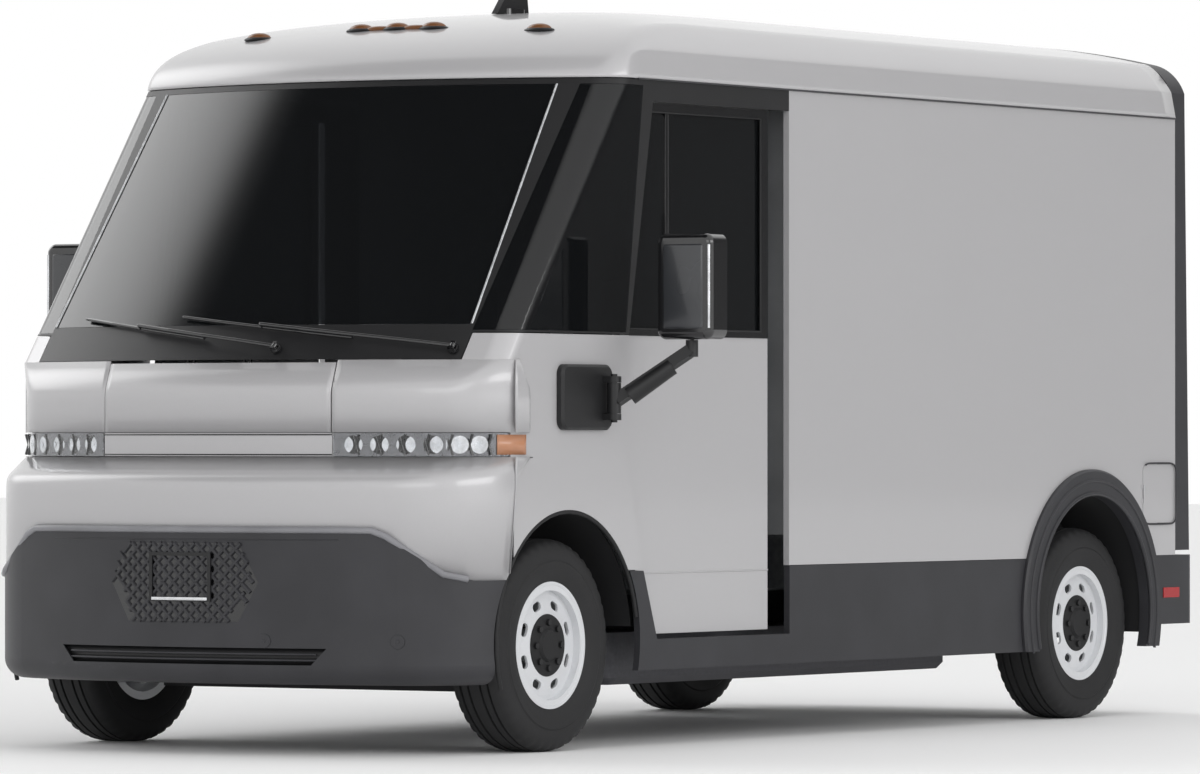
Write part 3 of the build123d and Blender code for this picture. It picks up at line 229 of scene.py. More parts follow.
marker_amber = clear("marker_amber", (0.22, 0.09, 0.035), 0.16, 0.2)
lamp_red = clear("lamp_red", (0.50, 0.01, 0.015), 0.12, 0.3)
bright_bar = painted("bright_bar", (0.42, 0.43, 0.45), 0.3, 0.3)
frame_steel = painted("frame_steel", (0.02, 0.02, 0.022), 0, 0.45, 0.2)
battery_case = metal("battery_case", (0.10, 0.10, 0.11), 0.5, 0.7)
drive_alloy = metal("drive_alloy", (0.42, 0.43, 0.44), 0.45)
nut_steel = metal("nut_steel", (0.45, 0.46, 0.48), 0.34)
axle_iron = metal("axle_iron", (0.03, 0.03, 0.032), 0.55, 0.6)
rim_steel = painted("rim_steel", (0.66, 0.67, 0.69), 0.1, 0.36, 0.35)
tyre_rubber = moulded("tyre_rubber", (0.014, 0.014, 0.015), 0.68, 320, 0.0006)
liner_plastic = moulded("liner_plastic", (0.010, 0.010, 0.011), 0.8)
floor_metal = metal("floor_metal", (0.30, 0.31, 0.32), 0.45)
lining_panel = moulded("lining_panel", (0.42, 0.43, 0.44), 0.6)
dash_plastic = moulded("dash_plastic", (0.03, 0.031, 0.035), 0.6)
seat_fabric = woven("seat_fabric", (0.035, 0.038, 0.046))

by_slot = {
    "body_composite": body_paint,
    "cladding": cladding,
    "trim_black": gloss_black,
    "glass_dark": dark_glass,
    "lamp_clear": lamp_clear,
    "lamp_body": chrome_bowl,
    "lamp_amber": lamp_amber,
    "lamp_red": lamp_red,
    "bright_bar": bright_bar,
    "frame_steel": frame_steel,
    "battery_case": battery_case,
    "drive_alloy": drive_alloy,
    "axle_iron": axle_iron,
    "rim_steel": rim_steel,
    "tyre_rubber": tyre_rubber,
    "liner_plastic": liner_plastic,
    "floor_metal": floor_metal,
    "lining_panel": lining_panel,
    "dash_plastic": dash_plastic,
    "seat_cloth": seat_fabric,
}
for part in frame["record"]["subparts"]:
    mesh = nodes[part["node"]].data
    mesh.materials.clear()
    mesh.materials.append(by_slot[part["material_slot"]])
own_materials = {
    "light_bar": body_paint,
    "cab_frame": satin_black,
    "headlights": dark_bowl,
    "mirror_bases": satin_black,
    "mirror_arm_left": satin_black,
    "mirror_arm_right": satin_black,
}
for node, material in own_materials.items():
    nodes[node].data.materials[0] = material


# ================================================================ mesh helpers
def finish_piece(name, bm, material, body, sharp=32, wall=0.0):
    """Turn a finished bmesh into a piece that rides on a body; a wall thickens an open sheet."""
    mesh = bpy.data.meshes.new(name)
    bm.to_mesh(mesh)
    bm.free()
    mesh.materials.append(material)
    mesh.polygons.foreach_set("use_smooth", [True] * len(mesh.polygons))
    mesh.set_sharp_from_angle(angle=math.radians(sharp))
    piece = bpy.data.objects.new(name, mesh)
    scene.collection.objects.link(piece)
    if wall:
        shell = piece.modifiers.new("wall", "SOLIDIFY")
        shell.thickness = wall
        shell.offset = -1
    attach(piece, body)
    return piece


def face_away(bm, centre):
    """Make an open sheet's faces point away from a centre."""
    bmesh.ops.recalc_face_normals(bm, faces=bm.faces)
    outward = sum(face.normal.dot(face.calc_center_median() - centre) for face in bm.faces)
    if outward < 0:
        bmesh.ops.reverse_faces(bm, faces=bm.faces)


def block(bm, low, high, edge=0.0, segments=2):
    """Box between two corners with rounded edges."""
    low, high = Vector(low), Vector(high)
    size = Matrix.Diagonal((*(high - low), 1))
    made = bmesh.ops.create_cube(bm, size=1, matrix=Matrix.Translation((low + high) / 2) @ size)
    if edge:
        edges = {link for vert in made["verts"] for link in vert.link_edges}
        bmesh.ops.bevel(
            bm,
            geom=list(edges),
            offset=edge,
            offset_type="OFFSET",
            affect="EDGES",
            segments=segments,
            profile=0.5,
            material=-1,
        )


def turned(bm, start, end, radius, end_radius=None, sides=24):
    """Round bar or cone between two points."""
    start, end = Vector(start), Vector(end)
    turn = (end - start).to_track_quat("Z", "Y").to_matrix().to_4x4()
    bmesh.ops.create_cone(
        bm,
        cap_ends=True,
        segments=sides,
        radius1=radius,
        radius2=radius if end_radius is None else end_radius,
        depth=(end - start).length,
        matrix=Matrix.Translation((start + end) / 2) @ turn,
    )


def dome(bm, centre, size, sides=20):
    """Squashed ball."""
    place = Matrix.Translation(centre) @ Matrix.Diagonal((*size, 1))
    bmesh.ops.create_uvsphere(bm, u_segments=sides, v_segments=sides // 2, radius=1, matrix=place)


def lathe_x(bm, profile, centre, steps=96):
    """Spin a closed (x, radius) profile about the axle through a centre."""
    verts = [bm.verts.new((x, centre.y, centre.z + radius)) for x, radius in profile]
    edges = [bm.edges.new((a, b)) for a, b in zip(verts, verts[1:] + verts[:1])]
    bmesh.ops.spin(
        bm,
        geom=verts + edges,
        cent=centre,
        axis=(1, 0, 0),
        angle=math.tau,
        steps=steps,
        use_merge=True,
    )
    bmesh.ops.remove_doubles(bm, verts=bm.verts, dist=1e-5)
    bmesh.ops.recalc_face_normals(bm, faces=bm.faces)


def flat_ring(bm, outer, inner, depth):
    """Plate between two outlines of the same number of points, given a depth."""
    loops = []
    for outline in (outer, inner):
        verts = [bm.verts.new(point) for point in outline]
        loops += [bm.edges.new((a, b)) for a, b in zip(verts, verts[1:] + verts[:1])]
    made = bmesh.ops.bridge_loops(bm, edges=loops)
    grown = bmesh.ops.extrude_face_region(bm, geom=made["faces"])
    moved = [item for item in grown["geom"] if isinstance(item, bmesh.types.BMVert)]
    bmesh.ops.translate(bm, verts=moved, vec=depth)
    bmesh.ops.recalc_face_normals(bm, faces=bm.faces)


def plate(bm, outline, depth):
    """Flat plate with an outline, given a depth."""
    face = bm.faces.new([bm.verts.new(point) for point in outline])
    grown = bmesh.ops.extrude_face_region(bm, geom=[face])
    moved = [item for item in grown["geom"] if isinstance(item, bmesh.types.BMVert)]
    bmesh.ops.translate(bm, verts=moved, vec=depth)
    bmesh.ops.recalc_face_normals(bm, faces=bm.faces)


def bead(name, points, radius, material, body, closed=False):
    """Round bead or tube along a run of points."""
    curve = bpy.data.curves.new(name, "CURVE")
    curve.dimensions = "3D"
    curve.bevel_depth = radius
    curve.bevel_resolution = 2
    curve.use_fill_caps = True
    run = curve.splines.new("POLY")
    run.points.add(len(points) - 1)
    for target, point in zip(run.points, points):
        target.co = (*point, 1)
    run.use_cyclic_u = closed
    drawn = bpy.data.objects.new(name, curve)
    mesh = bpy.data.meshes.new_from_object(drawn)
    bpy.data.objects.remove(drawn)
    bm = bmesh.new()
    bm.from_mesh(mesh)
    return finish_piece(name, bm, material, body, 60)


def both_sides(bm):
    """Copy everything in the mesh to the truck's other side."""
    everything = bm.verts[:] + bm.edges[:] + bm.faces[:]
    bmesh.ops.mirror(bm, geom=everything, axis="X", merge_dist=1e-6)
    bmesh.ops.recalc_face_normals(bm, faces=bm.faces)


def rounded(points, radius, steps=6):
    """Polyline with each inner corner replaced by a short curve."""
    points = [Vector(point) for point in points]
    path = [points[0]]
    for before, corner, after in zip(points, points[1:], points[2:]):
        back, ahead = before - corner, after - corner
        start = corner + back.normalized() * min(radius, back.length / 2)
        end = corner + ahead.normalized() * min(radius, ahead.length / 2)
        for step in range(steps + 1):
            t = step / steps
            path.append(start.lerp(corner, t).lerp(corner.lerp(end, t), t))
    path.append(points[-1])
    return path


# ================================================================ the nose's curved surface
bow = 2.2
front_y = nose_y + 0.008
seam_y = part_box("front_fascia")[1].y
hood_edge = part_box("hood_panel")[1].x + 0.004
lamp_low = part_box("light_bar")[0].z
lamp_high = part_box("light_bar")[1].z
fascia_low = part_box("front_fascia")[0].z
cowl_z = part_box("front_fascia")[1].z
arch_y = front_axle_y + 0.005
arch_z = tyre_radius + 0.013
arch_radius = tyre_radius + 0.088
# (setback, height, plan corner radius) of each tier, from the bumper up to the cowl
lower_tiers = [(0, fascia_low, 0.38), (0, 0.955, 0.38), (0.152, lamp_low - 0.002, 0.29)]
upper_tiers = [(0.152, lamp_high + 0.002, 0.29), (0.152, 1.26, 0.29), (0.19, cowl_z, 0.12)]


def plan_point(setback, corner, share):
    """Plan of the nose: 0 in the middle, 0.3 at the hood's edge, 0.6 where the corner starts."""
    centre_y = front_y + setback + bow
    corner_x = body_half - corner
    corner_y = centre_y - math.sqrt((bow - corner) ** 2 - corner_x**2)
    end_angle = math.atan2(corner_x, centre_y - corner_y)
    if share <= 0.6:
        bow_end = bow * math.sin(end_angle)
        past = max(0, share - 0.3) / 0.3
        x = hood_edge * min(share, 0.3) / 0.3 + (bow_end - hood_edge) * past
        return Vector((x, centre_y - math.sqrt(bow**2 - x**2)))
    if share <= 0.9:
        turn = end_angle + (math.pi / 2 - end_angle) * (share - 0.6) / 0.3
        return Vector((corner_x + corner * math.sin(turn), corner_y - corner * math.cos(turn)))
    return Vector((body_half, corner_y + (seam_y - corner_y) * (share - 0.9) / 0.1))


def nose_point(row, share, inset=0.0):
    """Point on the nose, or behind its surface by an inset."""
    setback, z, corner = row
    side = -1 if share < 0 else 1
    here = plan_point(setback, corner, abs(share))
    if inset:
        near = plan_point(setback, corner, max(0, abs(share) - 0.01))
        far = plan_point(setback, corner, min(1, abs(share) + 0.01))
        along = (far - near).normalized()
        here = here + Vector((-along.y, along.x)) * inset
    return Vector((side * here.x, here.y, z))


def nose_sheet(rows, shares, columns, inset=0.0):
    """Mesh of a stretch of the nose between two shares."""
    bm = bmesh.new()
    bmesh.ops.create_grid(bm, x_segments=columns, y_segments=len(rows) - 1, size=0.5)
    for vert in bm.verts:
        row = rows[round((vert.co.y + 0.5) * (len(rows) - 1))]
        share = shares[0] + (shares[1] - shares[0]) * (vert.co.x + 0.5)
        vert.co = nose_point(row, share, inset)
        off = Vector((vert.co.y - arch_y, vert.co.z - arch_z))
        if off.length < arch_radius:
            off = off.normalized() * arch_radius
            vert.co.y, vert.co.z = arch_y + off.x, arch_z + off.y
    return bm


def make_nose():
    """Front fascia with soft shelf edges, the hood and the lamps' shelf."""
    lower = nose_sheet(rounded(lower_tiers, 0.034), (-1, 1), 120)
    face_away(lower, Vector((0, front_axle_y + 1, 0.9)))
    lower_skin = finish_piece("fascia_lower_skin", lower, body_paint, "chassis", 50, 0.005)
    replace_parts(lower_skin, "front_fascia")
    upper = nose_sheet(rounded(upper_tiers, 0.02), (0.3, 1), 48)
    both_sides(upper)
    face_away(upper, Vector((0, front_axle_y + 1, 1.1)))
    finish_piece("fascia_upper_skin", upper, body_paint, "chassis", 50, 0.005)
    hood_rows = rounded([*upper_tiers[:2], (0.187, cowl_z - 0.009, 0.12)], 0.02)
    hood = nose_sheet(hood_rows, (-0.2975, 0.2975), 48)
    face_away(hood, Vector((0, front_axle_y + 1, 1.1)))
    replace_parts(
        finish_piece("hood_skin", hood, body_paint, "hood", 50, 0.005), "hood_panel"
    )
    # shelf under the lamps closes the step in the nose
    shelf = nose_sheet([(0.152, lamp_low - 0.002, 0.29), (0.21, lamp_low - 0.002, 0.23)], (-0.9, 0.9), 90)
    face_away(shelf, Vector((0, front_axle_y, 0.5)))
    finish_piece("lamp_shelf", shelf, satin_black, "chassis", 50, 0.003)
    # narrow gloss black beads above and below the panel between the lamps: painted shade in the gaps that
    # edge it
    for place, z in (("lower", lamp_low + 0.006), ("upper", lamp_high - 0.006)):
        line = [nose_point((0.1525, z, 0.29), share / 20 * 0.3) for share in range(-20, 21)]
        bead(f"light_bar_gap_shade_{place}", line, 0.0024, gloss_black, "chassis")


def make_headlamps():
    """Reflector rings, projector lenses, black webs and the amber end of each headlamp."""
    middle = (lamp_low + lamp_high) / 2
    rings, lenses, webs = bmesh.new(), bmesh.new(), bmesh.new()
    for number in range(7):
        share = 0.335 + number * 0.062
        row = (0.152, middle, 0.29)
        face = nose_point(row, share, 0.006)
        back = nose_point(row, share, 0.036)
        turned(rings, face, back, 0.031, 0.013, 20)
        turned(lenses, nose_point(row, share, 0.0045), back, 0.011, 0.011, 16)
        web = nose_point(row, share + 0.031, 0.007)
        for lean in (-0.012, 0.012):
            turned(webs, web + Vector((lean, 0, -0.036)), web + Vector((-lean, 0, 0.036)), 0.0045, sides=8)
    for bm in (rings, lenses, webs):
        both_sides(bm)
    finish_piece("headlamp_reflectors", rings, chrome_bowl, "chassis")
    finish_piece("headlamp_projectors", lenses, lamp_clear, "chassis")
    finish_piece("headlamp_webs", webs, gloss_black, "chassis")
    rows = [(0.152, lamp_low + 0.006, 0.29), (0.152, lamp_high - 0.006, 0.29)]
    amber = nose_sheet(rows, (0.765, 0.885), 14, 0.004)
    both_sides(amber)
    face_away(amber, Vector((0, front_axle_y, middle)))
    finish_piece("turn_signal_ends", amber, lamp_amber, "chassis", 50, 0.004)


# ================================================================ bumper
bumper_kink = 0.712


def bumper_point(x, z, proud=0.0):
    """Point on the bumper's front face, or standing off it."""
    share, low, high = 0.5, 0.0, 0.9
    for _ in range(24):
        share = (low + high) / 2
        if nose_point((0, z, 0.38), share).x < abs(x):
            low = share
        else:
            high = share
    return nose_point((0, z, 0.38), math.copysign(share, x), -0.008 - proud)


tow_cover_places = ((0.332, 0.397), (0.80, 0.397))


def make_bumper():
    """Lip, crease, grille, plate bracket, lower slot and tow covers of the bumper."""
    edge = [(-0.985, 0.612), (-0.93, 0.628), (-0.76, 0.758), (-bumper_kink, 0.778), (-0.6, 0.7795)]
    edge += [(x / 10, 0.7795) for x in range(-5, 6)]
    edge += [(-x, z) for x, z in reversed(edge[:5])]
    lip = [bumper_point(x, z, -0.002) for x, z in edge]
    # the lip bead's lighter grey is a painted highlight on the bumper's rounded top edge
    bead("bumper_lip", lip, 0.012, painted_highlight_lip, "chassis")
    crease = [bumper_point(x / 10, 0.745, -0.001) for x in range(-6, 7)]
    bead("bumper_crease", crease, 0.003, cladding, "chassis")
    # diagonal ribs over a black backing leave diamond openings
    ribs = bmesh.new()
    low, high, reach, pitch = 0.462, 0.732, 0.31, 0.046
    height, middle = high - low, (high + low) / 2
    for lean in (-1, 1):
        for number in range(int((2 * reach + height) / pitch) + 1):
            start = -reach - height * (lean > 0) + number * pitch
            path = []
            for step in range(9):
                z = low + height * step / 8
                x = start + lean * (z - low)
                path.append((x, z))
            for (xa, za), (xb, zb) in zip(path, path[1:]):
                if max(abs(xa), abs(xb)) <= reach * (1 - 0.5 * abs(za - middle) / height):
                    turned(ribs, bumper_point(xa, za, 0.001), bumper_point(xb, zb, 0.001), 0.008, sides=6)
    finish_piece("grille_lattice", ribs, cladding, "chassis", 50)
    backing = bmesh.new()
    bmesh.ops.create_grid(backing, x_segments=30, y_segments=2, size=0.5)
    for vert in backing.verts:
        taper = 1 - 0.5 * abs(vert.co.y)
        vert.co = bumper_point(vert.co.x * 2 * reach * taper, middle + vert.co.y * height, 0.0004)
    face_away(backing, Vector((0, front_axle_y, 0.6)))
    finish_piece("grille_backing", backing, gloss_black, "chassis", 50)
    # number-plate bracket; its bright chrome lower bar is a painted highlight along the bracket's lower edge
    face = bumper_point(0, 0.6).y
    frame_bm = bmesh.new()
    corners = [(-0.13, 0.53), (0.13, 0.53), (0.13, 0.70), (-0.13, 0.70)]
    outer = [(x, face - 0.004, z) for x, z in corners]
    inner = [(x * 0.9, face - 0.004, 0.615 + (z - 0.615) * 0.86) for x, z in corners]
    flat_ring(frame_bm, outer, inner, (0, -0.006, 0))
    finish_piece("plate_bracket", frame_bm, satin_black, "chassis")
    # chrome bar standing in for the highlight on the bracket's lower edge: a painted highlight
    bar = bmesh.new()
    block(bar, (-0.118, face - 0.014, 0.534), (0.118, face - 0.009, 0.545), 0.002)
    finish_piece("plate_bracket_highlight_bar", bar, chrome_bowl, "chassis")
    # lower air slot: dark duct behind two slats
    duct = nose_sheet([(0.012, 0.30, 0.38), (0.012, 0.385, 0.38)], (-0.42, 0.42), 40)
    face_away(duct, Vector((0, front_axle_y, 0.34)))
    finish_piece("slot_duct", duct, satin_black, "chassis", 50, 0.003)
    for place, z in (("lower", 0.331), ("upper", 0.352)):
        run = [bumper_point(x / 20 * 0.52, z, -0.008) for x in range(-20, 21)]
        bead(f"slot_slat_{place}", run, 0.0042, cladding, "chassis")
    covers = bmesh.new()
    for x, z in tow_cover_places:
        at = bumper_point(x, z)
        out = (bumper_point(x, z, 0.01) - at).normalized()
        turned(covers, at - out * 0.004, at + out * 0.0025, 0.026, 0.024, 28)
        turned(covers, at + out * 0.002, at + out * 0.004, 0.007, 0.006, 16)
    finish_piece("tow_eye_covers", covers, cladding, "chassis")


# ================================================================ roof
seam_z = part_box("roof")[0].z
roof_rear_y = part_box("roof")[1].y
brow_front_y = front_y + 0.934
crown_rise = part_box("roof")[1].z - seam_z


def roof_front(x):
    """Front edge of the roof at a distance x from the middle."""
    corner = 0.15
    corner_x = body_half - corner
    centre_y = brow_front_y + bow
    corner_y = centre_y - math.sqrt((bow - corner) ** 2 - corner_x**2)
    bow_end = bow * math.sin(math.atan2(corner_x, centre_y - corner_y))
    if abs(x) <= bow_end:
        return centre_y - math.sqrt(bow**2 - x**2)
    return corner_y - math.sqrt(max(0, corner**2 - (abs(x) - corner_x) ** 2))


def soft_min(a, b, blend):
    """Smaller of two heights with a soft change between them."""
    near = max(blend - abs(a - b), 0) / blend
    return min(a, b) - near * near * blend / 4


def roof_rise(x, y):
    """Height of the roof's skin above its seam."""
    shoulder = body_half - 0.161
    off = abs(x)
    if off < shoulder:
        section = 0.222 + (crown_rise - 0.222) * (1 - (off / shoulder) ** 2)
    elif off < body_half - 0.02:
        t = (body_half - 0.02 - off) / 0.141
        section = 0.102 + 0.12 * math.sin(t * math.pi / 2) ** 0.9
    else:
        section = 0.102 * (body_half - off) / 0.02
    back = max(0, y - roof_front(x))
    brow = 0.385 * (1 - math.exp(-((back / 0.62) ** 0.62)))
    return soft_min(section, brow, 0.04) if min(section, brow) > 0.02 else min(section, brow)


def make_roof():
    """Roof skin whose brow follows the windshield's bow, with its marker lamps."""
    bm = bmesh.new()
    across, along = 96, 72
    bmesh.ops.create_grid(bm, x_segments=across, y_segments=along, size=0.5)
    for vert in bm.verts:
        u = vert.co.x * 2
        side = abs(u)
        if side > 0.9:
            x = body_half - 0.02 + 0.02 * (side - 0.9) / 0.1
        elif side > 0.6:
            x = body_half - 0.161 + 0.141 * math.sin((side - 0.6) / 0.3 * math.pi / 2)
        else:
            x = (body_half - 0.161) * side / 0.6
        x = math.copysign(x, u)
        front = roof_front(x)
        y = front + (roof_rear_y - front) * (vert.co.y + 0.5) ** 1.8
        vert.co = Vector((x, y, seam_z + roof_rise(x, y)))
    face_away(bm, Vector((0, 0.5, 1.5)))
    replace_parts(finish_piece("roof_skin", bm, body_paint, "chassis", 55, 0.006), "roof")
    lamp_y = front_axle_y + 0.48
    lenses, bases = bmesh.new(), bmesh.new()
    for x in (-0.61, -0.158, 0, 0.158, 0.61):
        top = Vector((x, lamp_y, seam_z + roof_rise(x, lamp_y)))
        dome(lenses, top + Vector((0, 0, 0.002)), (0.05, 0.03, 0.021))
        dome(bases, top - Vector((0, 0, 0.002)), (0.062, 0.038, 0.012))
    for x in (-0.079, 0.079):
        top = Vector((x, lamp_y, seam_z + roof_rise(x, lamp_y)))
        dome(lenses, top, (0.07, 0.026, 0.013))
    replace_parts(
        finish_piece("marker_lamp_lenses", lenses, marker_amber, "chassis"), "marker_lamps"
    )
    finish_piece("marker_lamp_bases", bases, satin_black, "chassis")
    low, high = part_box("roof_antenna")
    fin = bmesh.new()
    outline = [(low.y - 0.06, low.z + 0.004), (low.y + 0.01, high.z - 0.022), (low.y + 0.045, high.z - 0.004)]
    outline += [(high.y + 0.015, high.z), (high.y + 0.03, low.z + 0.004)]
    plate(fin, side_outline(outline, low.x + 0.012), (high.x - low.x - 0.024, 0, 0))
    finish_piece("antenna_fin", fin, satin_black, "chassis")
    # gutter along each side of the roof
    for side, sign in (("left", 1), ("right", -1)):
        run = [(sign * (body_half - 0.001), y, seam_z - 0.002) for y in (front_axle_y + 0.45, roof_rear_y)]
        bead(f"roof_gutter_{side}", run, 0.0035, cladding, "chassis")


# ================================================================ wheels
def make_wheels():
    """Grooved tyres, hub covers, wheel nuts and rim lips, one set per wheel body."""
    half = (front_tyre[1].x - front_tyre[0].x) / 2
    for place in ("front", "rear"):
        for side, sign in (("left", 1), ("right", -1)):
            low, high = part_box(f"tyre_{place}_{side}")
            centre = (low + high) / 2
            body = f"wheel_{place}_{side}"
            rim_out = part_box(f"rim_{place}_{side}")[1 if sign > 0 else 0].x
            crown = [(half - 0.012, -0.020), (half - 0.022, -0.008), (0.078, -0.003)]
            for groove in (0.062, 0.03):
                crown += [(groove, 0), (groove - 0.002, -0.008)]
                crown += [(groove - 0.008, -0.008), (groove - 0.010, 0)]
            wall = [(0.086, 0.2005 - tyre_radius), (0.094, 0.228 - tyre_radius), (0.106, 0.252 - tyre_radius)]
            wall += [(half - 0.003, 0.272 - tyre_radius), (half, 0.292 - tyre_radius)]
            wall += [(half - 0.0035, 0.298 - tyre_radius), (half - 0.0015, 0.304 - tyre_radius)]
            wall += [(half - 0.004, 0.328 - tyre_radius), (half - 0.007, 0.340 - tyre_radius)]
            outside = [(x, tyre_radius + r) for x, r in wall + crown]
            inside = [(0.070, tyre_radius - 0.022), (half - 0.024, tyre_radius - 0.04)]
            inside += [(half - 0.014, 0.292), (0.092, 0.25), (0.072, 0.2005)]
            loop = outside + [(-x, r) for x, r in reversed(outside)]
            loop += [(-x, r) for x, r in reversed(inside)] + inside
            bm = bmesh.new()
            lathe_x(bm, [(centre.x + x, r) for x, r in loop], centre, 132)
            for vert in bm.verts:
                off = Vector((0, vert.co.y - centre.y, vert.co.z - centre.z))
                step = round(math.atan2(off.z, off.y) / math.tau * 132)
                shoulder = abs(vert.co.x - centre.x) > 0.07 and off.length > tyre_radius - 0.021
                if shoulder and step % 3 == 0:
                    vert.co -= off.normalized() * 0.006
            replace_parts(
                finish_piece(f"tyre_tread_{place}_{side}", bm, tyre_rubber, body, 28),
                f"tyre_{place}_{side}",
            )
            face_x = rim_out - sign * 0.030
            cap, nuts = bmesh.new(), bmesh.new()
            cap_x = face_x + sign * 0.0195
            turned(cap, (face_x, centre.y, centre.z), (cap_x, centre.y, centre.z), 0.116, 0.108, 48)
            turned(
                cap,
                (face_x + sign * 0.018, centre.y, centre.z),
                (face_x + sign * 0.030, centre.y, centre.z),
                0.060,
                0.050,
                36,
            )
            for number in range(8):
                angle = math.tau * number / 8
                y, z = centre.y + 0.08 * math.cos(angle), centre.z + 0.08 * math.sin(angle)
                turned(nuts, (face_x, y, z), (face_x + sign * 0.029, y, z), 0.0125, 0.0115, 6)
            finish_piece(f"hub_cover_{place}_{side}", cap, rubber_seal, body, 40)
            finish_piece(f"wheel_nuts_{place}_{side}", nuts, satin_black, body, 40)
            lip = bmesh.new()
            edge = [(0.0885, 0.2225), (0.0935, 0.2225), (0.0935, 0.212), (0.0905, 0.209), (0.0885, 0.212)]
            lathe_x(lip, [(centre.x + sign * x, r) for x, r in edge], centre, 96)
            finish_piece(f"rim_lip_{place}_{side}", lip, rim_steel, body, 40)


# ================================================================ doors and side glass
door_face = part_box("door_panel_left")[1].x
window_low, window_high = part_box("door_window_left")
belt_z = window_low.z - 0.018
door_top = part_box("door_panel_left")[1].z
door_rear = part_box("door_panel_left")[1].y


def side_outline(points, x):
    """Points of a side view placed at a distance x from the middle."""
    return [(x, y, z) for y, z in points]


def make_doors():
    """Black window surrounds, seals, a bright line along the top that paints its edge highlight, mullions,
    creases and grips of the sliding doors.
    """
    glass_low_y = front_axle_y + 0.398 + 0.034
    glass_top_y = front_axle_y + 0.558 + 0.024
    outer = [(front_axle_y + 0.392, belt_z), (front_axle_y + 0.556, door_top)]
    outer += [(door_rear, door_top), (door_rear, belt_z)]
    inner = [(glass_low_y + 0.012, window_low.z + 0.006), (glass_top_y + 0.010, window_high.z - 0.012)]
    inner += [(window_high.y - 0.012, window_high.z - 0.012), (window_high.y - 0.012, window_low.z + 0.006)]
    for side, sign in (("left", 1), ("right", -1)):
        body = f"door_{side}"
        bm = bmesh.new()
        x = sign * (door_face + 0.0005)
        flat_ring(bm, side_outline(outer, x), side_outline(inner, x), (sign * 0.003, 0, 0))
        finish_piece(f"door_surround_{side}", bm, gloss_black, body)
        seal = side_outline(inner, sign * (door_face + 0.002))
        bead(f"door_glass_seal_{side}", seal, 0.005, rubber_seal, body, True)
        # bright bead along the door's top edge: a painted highlight
        trim = side_outline([outer[1], outer[2]], sign * (door_face + 0.004))
        bead(f"door_top_highlight_line_{side}", trim, 0.0035, painted_highlight_trim, body)
        bars = bmesh.new()
        span = sorted((sign * (door_face - 0.012), sign * (door_face + 0.003)))
        mullion_y = front_axle_y + 0.699
        low = (span[0], mullion_y - 0.011, window_low.z)
        block(bars, low, (span[1], mullion_y + 0.011, window_high.z), 0.002)
        finish_piece(f"door_mullion_{side}", bars, gloss_black, body)
        crease_x = sign * (door_face + 0.0004)
        crease = side_outline([(front_axle_y + 0.505, 0.616), (door_rear, 0.616)], crease_x)
        bead(f"door_crease_{side}", crease, 0.003, body_paint, body)
        grip = bmesh.new()
        inside = sorted((sign * (door_face - 0.034), sign * (door_face - 0.044)))
        block(grip, (inside[0], door_rear - 0.24, 1.05), (inside[1], door_rear - 0.2, 1.36), 0.0045, 3)
        finish_piece(f"door_inner_grip_{side}", grip, satin_black, body)


def make_pillars():
    """Bright lines along the windshield, painted highlights on its edges, and seals round the front wheel
    openings.
    """
    low_x, high_x = body_half - 0.156, body_half - 0.202
    rake = 0.744 / (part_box("roof")[0].z - 0.002 - cowl_z)
    for side, sign in (("left", 1), ("right", -1)):
        run = []
        for step in range(9):
            t = step / 8
            x, z = low_x + (high_x - low_x) * t, 1.49 + 0.854 * t
            y = front_y + 0.19 + rake * (z - cowl_z) + bow - math.sqrt(bow**2 - x**2)
            run.append(Vector((sign * x, y - 0.001, z)))
        # bright bead along each windshield edge: a painted highlight
        bead(f"windshield_highlight_line_{side}", run, 0.0042, painted_highlight_trim, "chassis")
        arch = []
        for step in range(25):
            angle = math.radians(200 - 190 * step / 24)
            y = arch_y + (arch_radius - 0.006) * math.cos(angle)
            z = arch_z + (arch_radius - 0.006) * math.sin(angle)
            arch.append((sign * (body_half - 0.012), y, z))
        bead(f"front_arch_seal_{side}", arch, 0.008, rubber_seal, "chassis")


def make_side_trim():
    """Stepped lips of the rear arches and the line round the charge flap."""
    trim_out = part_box("side_cladding")[1].x
    centre_y, centre_z = rear_axle_y - 0.045, tyre_radius + 0.046
    for side, sign in (("left", 1), ("right", -1)):
        lips = (("inner", tyre_radius + 0.089, 0.009), ("middle", tyre_radius + 0.139, 0.006))
        for place, radius, thick in lips:
            run = []
            for step in range(49):
                angle = math.radians(197 - 214 * step / 48)
                y, z = centre_y + radius * math.cos(angle), centre_z + radius * math.sin(angle)
                run.append((sign * (trim_out - 0.001), y, z))
            bead(f"rear_arch_lip_{place}_{side}", run, thick, cladding, "chassis")
    low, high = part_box("charge_flap")
    middle_y = (low.y + high.y) / 2
    middle_z = (low.z + high.z) / 2
    half_y, half_z = (high.y - low.y) / 2 + 0.005, (high.z - low.z) / 2 + 0.005
    run = []
    for step in range(-17, 18):
        angle = math.tau * step / 48
        c, s = math.cos(angle), math.sin(angle)
        y = middle_y + half_y * math.copysign(abs(c) ** 0.28, c)
        z = middle_z + half_z * math.copysign(abs(s) ** 0.28, s)
        run.append((body_half + 0.0005, y, z))
    bead("charge_flap_surround", run, 0.0035, cladding, "chassis")


